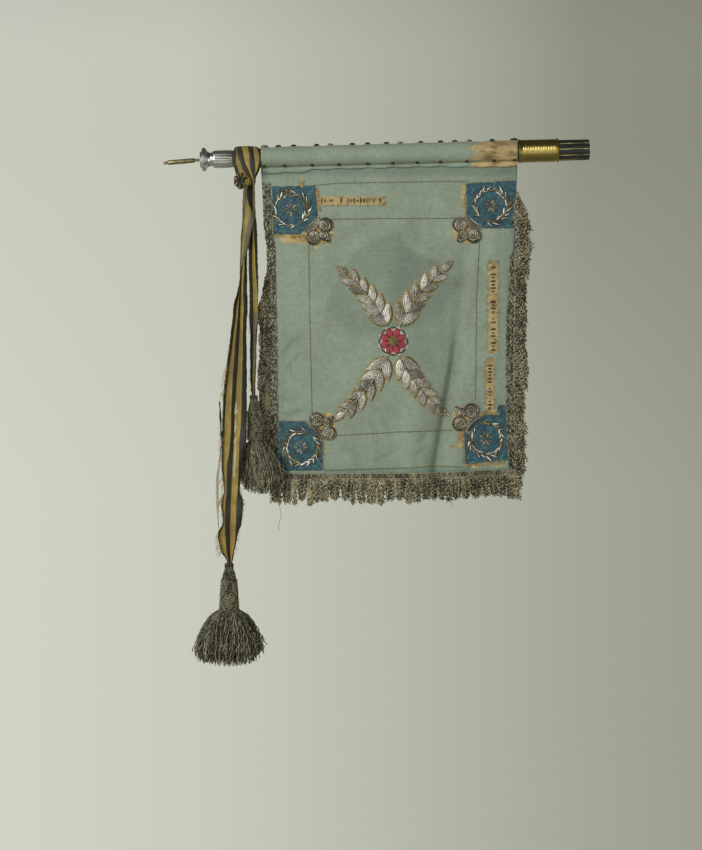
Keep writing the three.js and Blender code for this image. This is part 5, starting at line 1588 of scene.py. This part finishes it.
# its dark stripes are drawn in the taupe grey, as painted sheen
overFold = {
    "colours": [backAndSheen, yellow, backAndSheen],
    "flat": [12, 16, 16],
    "rows": [
        (62, (676, 669.5, 669.3, 669), -21), (73.2, (677.2, 670.3, 670.1, 669.9), -23),
        (98.8, (678.9, 671.1, 670.3, 669.9), -24), (105.3, (679.3, 671.3, 668.2, 667.8), -24.5),
        (126.7, (679.3, 675.8, 663.8, 658.2), -26), (148.5, (679.7, 677.9, 669.5, 658.2), -27),
        (170, (682, 679.7, 673.3, 663.1), -27), (191.6, (682.7, 681.9, 676.8, 667.4), -26),
        (213.2, (683.3, 682.8, 678.9, 673.2), -25), (232, (684, 683.6, 681.6, 679), -23.5),
    ],
}
shortEnd = {
    "colours": [dark, yellow, dark],
    "flat": [12, 18, 14],
    "rows": [
        (62, (672, 660, 656.8, 656.4), -12), (83, (671.3, 658.2, 655.3, 655), -13),
        (105, (671.1, 658.8, 654.9, 654.6), -14), (126.7, (670.3, 658.8, 655.4, 653.9), -15),
        (148.5, (668.4, 658.6, 656.2, 651.7), -16), (170, (667.8, 660.5, 656.6, 650.5), -16.5),
        (191.6, (667.2, 660.5, 655.3, 650.1), -17), (213.2, (666.8, 660.5, 654.3, 650.1), -17.5),
        (227.5, (666.8, 660.5, 653.9, 649.5), -18), (256.3, (666, 659.7, 651.7, 648.8), -19),
        (285.1, (665.2, 658.8, 649.5, 648.8), -19.5), (303.9, (665, 658.2, 649.5, 649.2), -20),
        (332.6, (665.8, 657.6, 648.9, 648.7), -20), (361.4, (664, 658.2, 653.3, 651.1), -20),
        (390.2, (664, 659, 653.3, 652.1), -20), (419.1, (664, 659.7, 653.9, 652.7), -20),
        (447.6, (663.7, 660.1, 655.8, 653.9), -19.5), (485, (660.5, 659, 656.5, 654.5), -19),
    ],
}
loopRound = {
    "colours": [dark, yellow, dark, yellow, dark, yellow, dark],
    "flat": [10, 12, 12, 14, 12, 12, 8],
    # the front of the loop, from the knot up to the top of the staff
    "rows": [
        (71, (664.5, 662.5, 660.8, 658.6, 657.4, 655.4, 655.2, 655), -17),
        (62, (670, 668, 662, 658.8, 656.6, 654, 653.8, 653.6), -20),
        (53, (688, 683, 669, 662, 658.6, 653.7, 653.5, 653.3), -23),
        (41.3, (693.3, 686.8, 677.8, 666.6, 662.3, 652.5, 648.8, 648.4), -25.5),
        (27.2, (697.6, 691.5, 682.5, 673.1, 664.6, 653.5, 645.4, 645.2), -25.5),
        (13.1, (697.6, 690.5, 687.6, 676, 664.6, 655.2, 646, 645.6), -23.5),
        (1, (695.5, 690.3, 689.2, 679, 667.3, 657.4, 649.4, 646.8), -16.5),
        (-4.5, (693.6, 690.4, 690, 680.5, 668.8, 658.7, 650.9, 648.2), -8),
        (-6.4, (693.3, 690.5, 690.1, 680.7, 668.9, 659, 651.5, 648.8), 0),
    ],
    "inside": 9, "middle": 671, "half": 25, "drawnIn": 0.1,
}


def drawnIn(at, y):
    # from the place as it shows, on the staff's plane, to the place itself nearer the eye
    return view["at"] + (at - view["at"]) * (1 + y / (1000 * view["away"]))


def stripedSheet(name, spec, steps, pleat):
    drops, edges, depth = (np.array(column, float) for column in zip(*spec["rows"]))
    edges = drawnIn(edges, depth[:, None])
    drop = np.linspace(drops[0], drops[-1], steps)
    shown = np.stack([softCurve(drops, column, drop) for column in edges.T], axis=1)
    return stripedRows(name, spec, drop, shown, softCurve(drops, depth, drop), pleat, 0.7)


def stripedRows(name, spec, drop, shown, level, pleat, thickness, inner=4):
    # each stripe's hidden width goes into a fold in or out
    columns, values, stripes = [], [], []
    fold = np.zeros(shown.shape)
    for k, flat in enumerate(spec["flat"]):
        seen = np.abs(shown[:, k] - shown[:, k + 1])
        spare = np.sqrt(np.maximum(0, flat**2 - seen**2)) * pleat
        fold[:, k + 1] = fold[:, k] + (spare if k % 2 == 0 else -spare)
    fold -= fold.mean(axis=1, keepdims=True)
    for k, colour in enumerate(spec["colours"]):
        for t in np.arange(inner) / inner:
            columns.append(shown[:, k] * (1 - t) + shown[:, k + 1] * t)
            values.append(level + fold[:, k] * (1 - t) + fold[:, k + 1] * t - 0.8 * math.sin(math.pi * t))
            stripes.append(colour)
    at = np.stack([*columns, shown[:, -1]], axis=1)
    y = np.stack([*values, level + fold[:, -1]], axis=1)
    ragged = 0.5 * ripple(spot(at, y, drop[:, None]) * 1000, 6.0, 11.0)
    at[:, [0, -1]] += ragged[:, [0, -1]] * 2
    points = spot(at, y + 0.6 * ragged, drop[:, None])
    made = addMesh(name, points, gridFaces(*points.shape[:2]), ribbonSilk)
    setAttribute(made, "stripe", np.tile(np.array(stripes, float), len(drop) - 1), "FACE")
    # painted shade where the ribbon lies round the staff, and darker where the long end was folded
    folded = smooth(drop, 360, 420) * (1 - smooth(drop, 440, 520))
    soil = 0.15 * (1 - smooth(drop, 44, 80)) + spec.get("folded", 0) * folded
    setAttribute(made, "soil", np.repeat(soil, points.shape[1]))
    return thicken(faceTowardFront(made), thickness)


def makeLoop():
    # up the front, over the staff, down the back and in again to the knot
    s = loopRound
    rows = list(s["rows"])
    for d, e, y in s["rows"][-2::-1]:
        gather = smooth(float(d), 30, 71)
        rows.append((d, e, -y * (1 - gather) - s["inside"] * gather))
    steps, keys = np.linspace(0, len(rows) - 1, 110), np.arange(len(rows))
    drop, level = (softCurve(keys, [row[k] for row in rows], steps) for k in (0, 2))
    shown = np.stack([softCurve(keys, column, steps) for column in zip(*(row[1] for row in rows))], axis=1)
    made = stripedRows("ribbonLoop", s, drop, shown, level, 0.12, 0.8)
    # the edges are drawn in closer round the staff than the middle
    points = readPoints(made) * 1000
    edge = np.minimum(np.abs((-points[:, 0] - s["middle"]) / s["half"]), 1)
    axis = axisDrop(-points[:, 0])
    shrink = 1 - s["drawnIn"] * edge**3 * (1 - smooth(-points[:, 2], 20, 45))
    points[:, 1] *= shrink
    points[:, 2] = -(axis + (-points[:, 2] - axis) * shrink)
    return writePoints(made, points / 1000)


knotFolds = [  # at, drop, y, wide, tall, deep, pleats and the stripe that leads
    (682, 63, -23, 12, 18, 7, 7, dark), (667.5, 66, -25, 5.5, 8, 5, 3, yellow),
]
knotRings = {"front": 9, "reach": np.r_[0.1, np.linspace(0.22, 1, 8), 0.94, 0.6, 0.1], "corners": 56}


def makeKnot():
    # the ribbon pulled through itself: pleats that run out from a dark hollow, and a small loop beside it
    parts = []
    rings, corners = knotRings["reach"], knotRings["corners"]
    reach, turn = np.meshgrid(rings, np.linspace(0, 2 * np.pi, corners, endpoint=False), indexing="ij")
    front = (np.arange(len(rings)) < knotRings["front"])[:, None]
    for at, drop, y, wide, tall, deep, pleats, lead in knotFolds:
        wave = np.cos(pleats * turn + 1.9 * np.sin(turn + 0.6) + 1.6 * reach)
        crown = deep * np.sin(np.pi * np.clip(reach, 0, 1) ** 0.8) ** 0.8 + 2.0 * wave * reach
        lift = np.where(front, crown, -deep * 0.4)
        size = reach * (1 + 0.05 * wave + 0.08 * np.sin(2 * turn + 1) + 0.07 * np.sin(3 * turn + 2.2))
        points = spot(at + wide * size * np.cos(turn), y - lift, drop + tall * size * np.sin(turn))
        part = faceOut(addMesh("knotFold", points, roundFaces(len(rings), corners), ribbonSilk))
        crest = (wave[:-1] > 0.62) & (reach[:-1] > 0.55) & front[:-1]
        stripe = np.where(crest, 1 - lead if lead == dark else yellow, lead)
        setAttribute(part, "stripe", np.r_[stripe.astype(float).ravel(), dark, dark], "FACE")
        parts.append(part)
    return joinMeshes("ribbonKnot", parts)


def restripe(made, colour, test):
    # faces that pass a test of their place, drop and stripe get another colour
    stripe = made.data.attributes["stripe"].data
    for face in made.data.polygons:
        if test(-face.center.x * 1000, -face.center.z * 1000, stripe[face.index].value):
            stripe[face.index].value = colour
    return made


turned = {"from": 320, "to": 440}
slit = {"drop": [498, 530, 560, 600, 640], "at": [689.8, 690.6, 691, 692, 693.4], "half": 1.5}


def turnedOver(at, drop, colour):
    # the short end shows its taupe back where it has turned over
    return colour == yellow and turned["from"] < drop < turned["to"]


def wornSlit(at, drop, colour):
    # the yellow edge worn to pale warp threads where the long end was folded
    if not slit["drop"][0] < drop < slit["drop"][-1]:
        return False
    return abs(at - softCurve(slit["drop"], slit["at"], drop)) < slit["half"] * (1 + 0.4 * math.sin(drop / 5))


ribbonParts = [
    restripe(stripedSheet("ribbonLongEnd", longEnd, 200, 0.8), pale, wornSlit),
    stripedSheet("ribbonOverFold", overFold, 80, 0.35),
    restripe(stripedSheet("ribbonShortEnd", shortEnd, 150, 0.75), backAndSheen, turnedOver),
    makeLoop(),
    makeKnot(),
]
ribbon = joinMeshes("stripedRibbon", ribbonParts)
fit("ribbon_silk", ribbon, replaces=["ribbon"])

# threads that have frayed out of the ribbon's edges: the end, its edge, side, from drop to drop, threads and reach
ribbonFrays = [
    (longEnd, 0, 1, 380, 790, 260, 5.0), (longEnd, -1, -1, 640, 790, 60, 3.5), (shortEnd, 0, 1, 300, 478, 40, 2.5),
]
paleWarp = {"count": 9, "points": 20, "from": 560, "to": 742, "at": 717.3, "out": 6.5, "y": -38}
looseStrip = {"count": 3, "points": 30, "at": 720.8, "in": 3.4, "y": -37, "from": 494, "length": 84}


def swelling(least, most, start, end, points):
    # a taper that is thickest in the middle of a thread
    return least + most * np.sin(np.linspace(start, end, points))


def makeFrays(rng):
    paths = []
    for spec, column, side, top, bottom, count, reach in ribbonFrays:
        drop = top + (bottom - top) * rng.random(count) ** 0.8
        drops, edges, depth = zip(*spec["rows"])
        y = softCurve(drops, depth, drop)
        at = drawnIn(softCurve(drops, [edge[column] for edge in edges], drop), y)
        length = reach * (0.4 + rng.random(count)) * (0.5 + 0.8 * (np.sin(drop / 17) > 0))
        path = []
        for t in np.linspace(-0.4, 1, 5):
            ahead = y + 0.8 * rng.normal(size=count) * max(t, 0)
            path.append(spot(at + side * length * t, ahead, drop + length * (0.5 * t + 0.9 * max(t, 0) ** 2)))
        paths.append(np.stack(path, axis=1))
    return threads("ribbonFray", np.concatenate(paths), 0.4, creamSilk, taper=[1, 1, 0.9, 0.7, 0.4], sides=3)


def makePaleWarp(rng):
    s = paleWarp
    t = np.linspace(0, 1, s["points"])
    strips = []
    for k in range(s["count"]):
        start = s["from"] + 12 * rng.random()
        at = s["at"] + s["out"] * smooth(t, 0, 0.5) + 0.6 * k * np.sin(np.pi * t) + 0.5 * np.sin(9 * t + k)
        strips.append(spot(at, s["y"] - 0.4 * k, start + (s["to"] - start) * t))
    taper = swelling(0.5, 0.5, 0.3, 2.8, s["points"])
    return threads("ribbonPaleWarp", np.stack(strips), 0.36, paleSilk, taper=taper, sides=3)


def makeLooseEdge():
    # a dark edge that has come away beside the long end
    s = looseStrip
    t = np.linspace(0, 1, s["points"])
    strips = []
    for k in range(s["count"]):
        at = s["at"] - s["in"] * t + 0.5 * np.sin(14 * t + k) + 0.9 * k
        strips.append(spot(at, s["y"] - 0.3 * k, s["from"] + (s["length"] - 5 * k) * t))
    taper = swelling(0.5, 0.6, 0.4, 2.9, s["points"])
    return threads("ribbonLooseEdge", np.stack(strips), 0.8, ribbonSilk, taper=taper)


rng = np.random.default_rng(61)
fit("ribbon_silk", makeFrays(rng), makePaleWarp(rng), makeLooseEdge())
print("ribbon ready")

# Tassels
tassels = {
    "tassel_long": {
        "at": 704, "drop": 808, "y": -26, "head": 1.0, "skirt": 1.0, "height": 1.0, "deep": 0.75, "drift": 0,
        "uneven": 1.0, "tone": 0.0, "strands": 600,
    },
    "tassel_short": {
        "at": 656.8, "drop": 480.9, "y": -19, "head": 0.9, "skirt": 0.64, "height": 0.97, "deep": 0.46, "drift": 19,
        "uneven": -0.7, "tone": -0.05, "strands": 390,
    },
}
headOutline = {
    "down": [0, 1.5, 3, 8, 10, 20, 31, 33, 36, 60, 90, 93, 98, 104, 112, 122, 136],
    "radius": [4.2, 7.0, 7.8, 7.8, 6.6, 10.2, 12.8, 14.2, 14.4, 16.2, 18.0, 20, 24, 26, 29, 31, 26],
}
skirtOutline = {"down": [92, 99, 106, 122, 145, 170, 200], "radius": [18.5, 29.5, 37, 47, 58, 66, 65]}
driftOutline = {"down": [0, 35, 90, 150, 200], "share": [0, 0.15, 0.28, 0.8, 1]}
netting = {
    "corners": 40, "points": 40, "crossed": 26, "upright": 34, "bands": (1.5, 3.6, 5.7, 7.8, 32.5, 34.6, 90.5, 93),
}
skirtShape = {
    "from": 92.5, "to": 195, "longest": 199, "widest": 73, "size": 0.85, "pitch": 15, "coiled": 95, "loose": 0.07,
    "pressed": 13,
}


def tasselPlace(spec, radius, turn, down):
    drift = spec["drift"] * fromTable(driftOutline, down, "down", "share")
    across = np.cos(turn) * radius
    deep = np.sin(turn) * radius * (1 + (spec["deep"] - 1) * np.minimum(1, np.abs(radius) / 40))
    return spot(spec["at"] - across - drift, spec["y"] + deep, spec["drop"] + down * spec["height"])


def makeHead(name, spec, local):
    # the core, and crinkled threads netted over the cone and the long neck, laid both ways
    downs = np.asarray(headOutline["down"], float)
    radii = np.asarray(headOutline["radius"]) * np.where(downs < 91, spec["head"], spec["skirt"])
    turns = np.linspace(0, 2 * np.pi, netting["corners"], endpoint=False)
    points = np.stack([tasselPlace(spec, r, turns, d) for r, d in zip(radii, downs)])
    core = faceOut(addMesh(name + "_core", points, roundFaces(len(downs), netting["corners"]), tasselThread))
    setAttribute(core, "shade", np.full(len(core.data.vertices), -0.25))
    paths, shades = [], []
    t = np.linspace(0, 1, netting["points"])

    def addCord(down, turn, lift, shade, crinkle=0.0):
        wave = t * 75 + local.random() * 6.28
        radius = np.interp(down, downs, radii) + lift + crinkle * np.sin(wave)
        paths.append(tasselPlace(spec, radius, turn + crinkle * 0.07 * np.cos(wave), down))
        # painted light: the cord is lighter where its crinkle bulges out and darker where it dips in, with random tone
        shades.append(shade + 0.15 * np.sin(wave) + 0.12 * local.normal(size=len(t)))

    crossed, upright = netting["crossed"], netting["upright"]
    for sign in (-1, 1):
        for i in range(crossed):
            turn = 2 * np.pi * (i + 0.5 * local.random()) / crossed + sign * t * 1.9
            addCord(33 + 60 * t, turn, 0.8 * spec["head"], local.random() * 0.56 - 0.2, 0.9)
    for i in range(upright):
        addCord(7 + 26 * t, 2 * np.pi * i / upright + 0.7 * t, 0.4, local.random() * 0.36 - 0.28, 0.4)
    for down in netting["bands"]:
        addCord(np.full(len(t), down), t * 2 * np.pi, 1.0, -0.08)
    return core, threads(name + "_net", np.stack(paths), 0.95, tasselThread, shades, sides=3)


def makeSkirt(name, spec, local):
    # crinkled strands that spring out over the shoulder and hang, longest in the middle
    s, n = skirtShape, spec["strands"]
    turn = 2 * np.pi * (np.arange(n) * 0.618 + 0.04 * local.normal(size=n))
    layer = local.random(n) ** 0.55
    wide = 0.42 + 0.58 * layer
    uneven = (1 + 0.05 * np.sin(turn * 5 + 1) + 0.06 * local.normal(size=n)) * spec["skirt"]
    loose = local.random(n) < s["loose"]
    tip = s["to"] - 22 * layer**2 * np.abs(np.cos(turn)) + 4.0 * local.normal(size=n)
    tip = np.minimum(tip - np.where(loose, 26 * local.random(n), 0), s["longest"])
    # one side has been pressed up and hangs shorter
    tip = tip - s["pressed"] * layer * np.maximum(0, np.cos(turn) * spec["uneven"])
    start = s["from"] + 7 * (1 - layer)
    lean = 8 * local.normal(size=n)
    phase, sway, bend = local.random((3, n)) * 6.28
    size = s["size"] * (0.6 + 0.9 * local.random(n)) + np.where(loose, 1.2, 0)
    pitch = s["pitch"] * (0.75 + 0.8 * local.random(n))
    relief, path = [], []
    for step in np.linspace(0, 1, crimpShape["points"]):
        down = start + (tip - start) * (0.35 * step + 0.65 * step**1.3)
        curve = fromTable(skirtOutline, down, "down", "radius")
        neck = skirtOutline["radius"][0]
        radius = (neck + (curve - neck) * wide) * uneven + np.where(loose, 9 * step**2, 0)
        radius = np.minimum(radius, s["widest"] * spec["skirt"])
        coil = phase + 2 * np.pi * step * s["coiled"] / pitch
        swing = 5.5 * step * np.sin(sway + 4 * step) + 3.2 * step * np.sin(bend + 9 * step)
        # painted light: a strand is lighter where its coil bulges out and darker where it dips in, with random tone,
        # and a little darker at its root than at its tip
        relief.append(0.1 * np.sin(coil) + 0.09 * local.normal(size=n) - 0.05 * np.cos(3 * step))
        around = turn + (size * np.cos(coil) + swing + lean * step) / np.maximum(radius, 8)
        path.append(tasselPlace(spec, radius + size * np.sin(coil), around, down))
    shades = np.stack(relief, axis=1) + 0.5 * local.random((n, 1)) ** 1.6 - 0.15 + spec["tone"]
    return threads(name + "_strands", np.stack(path, axis=1), 1.0, tasselThread, shades, strandTaper, 3)


for seed, (name, spec) in enumerate(tassels.items()):
    local = np.random.default_rng(50 + seed)
    core, net = makeHead(name, spec, local)
    work = joinMeshes(name + "_work", [makeSkirt(name, spec, local), core, net])
    fit("tassel_thread", work, replaces=[name])
print("tassels ready")

for shape in (dome, slimLeaf, broadLeaf, plainLeaf, petal):
    bpy.data.objects.remove(shape)
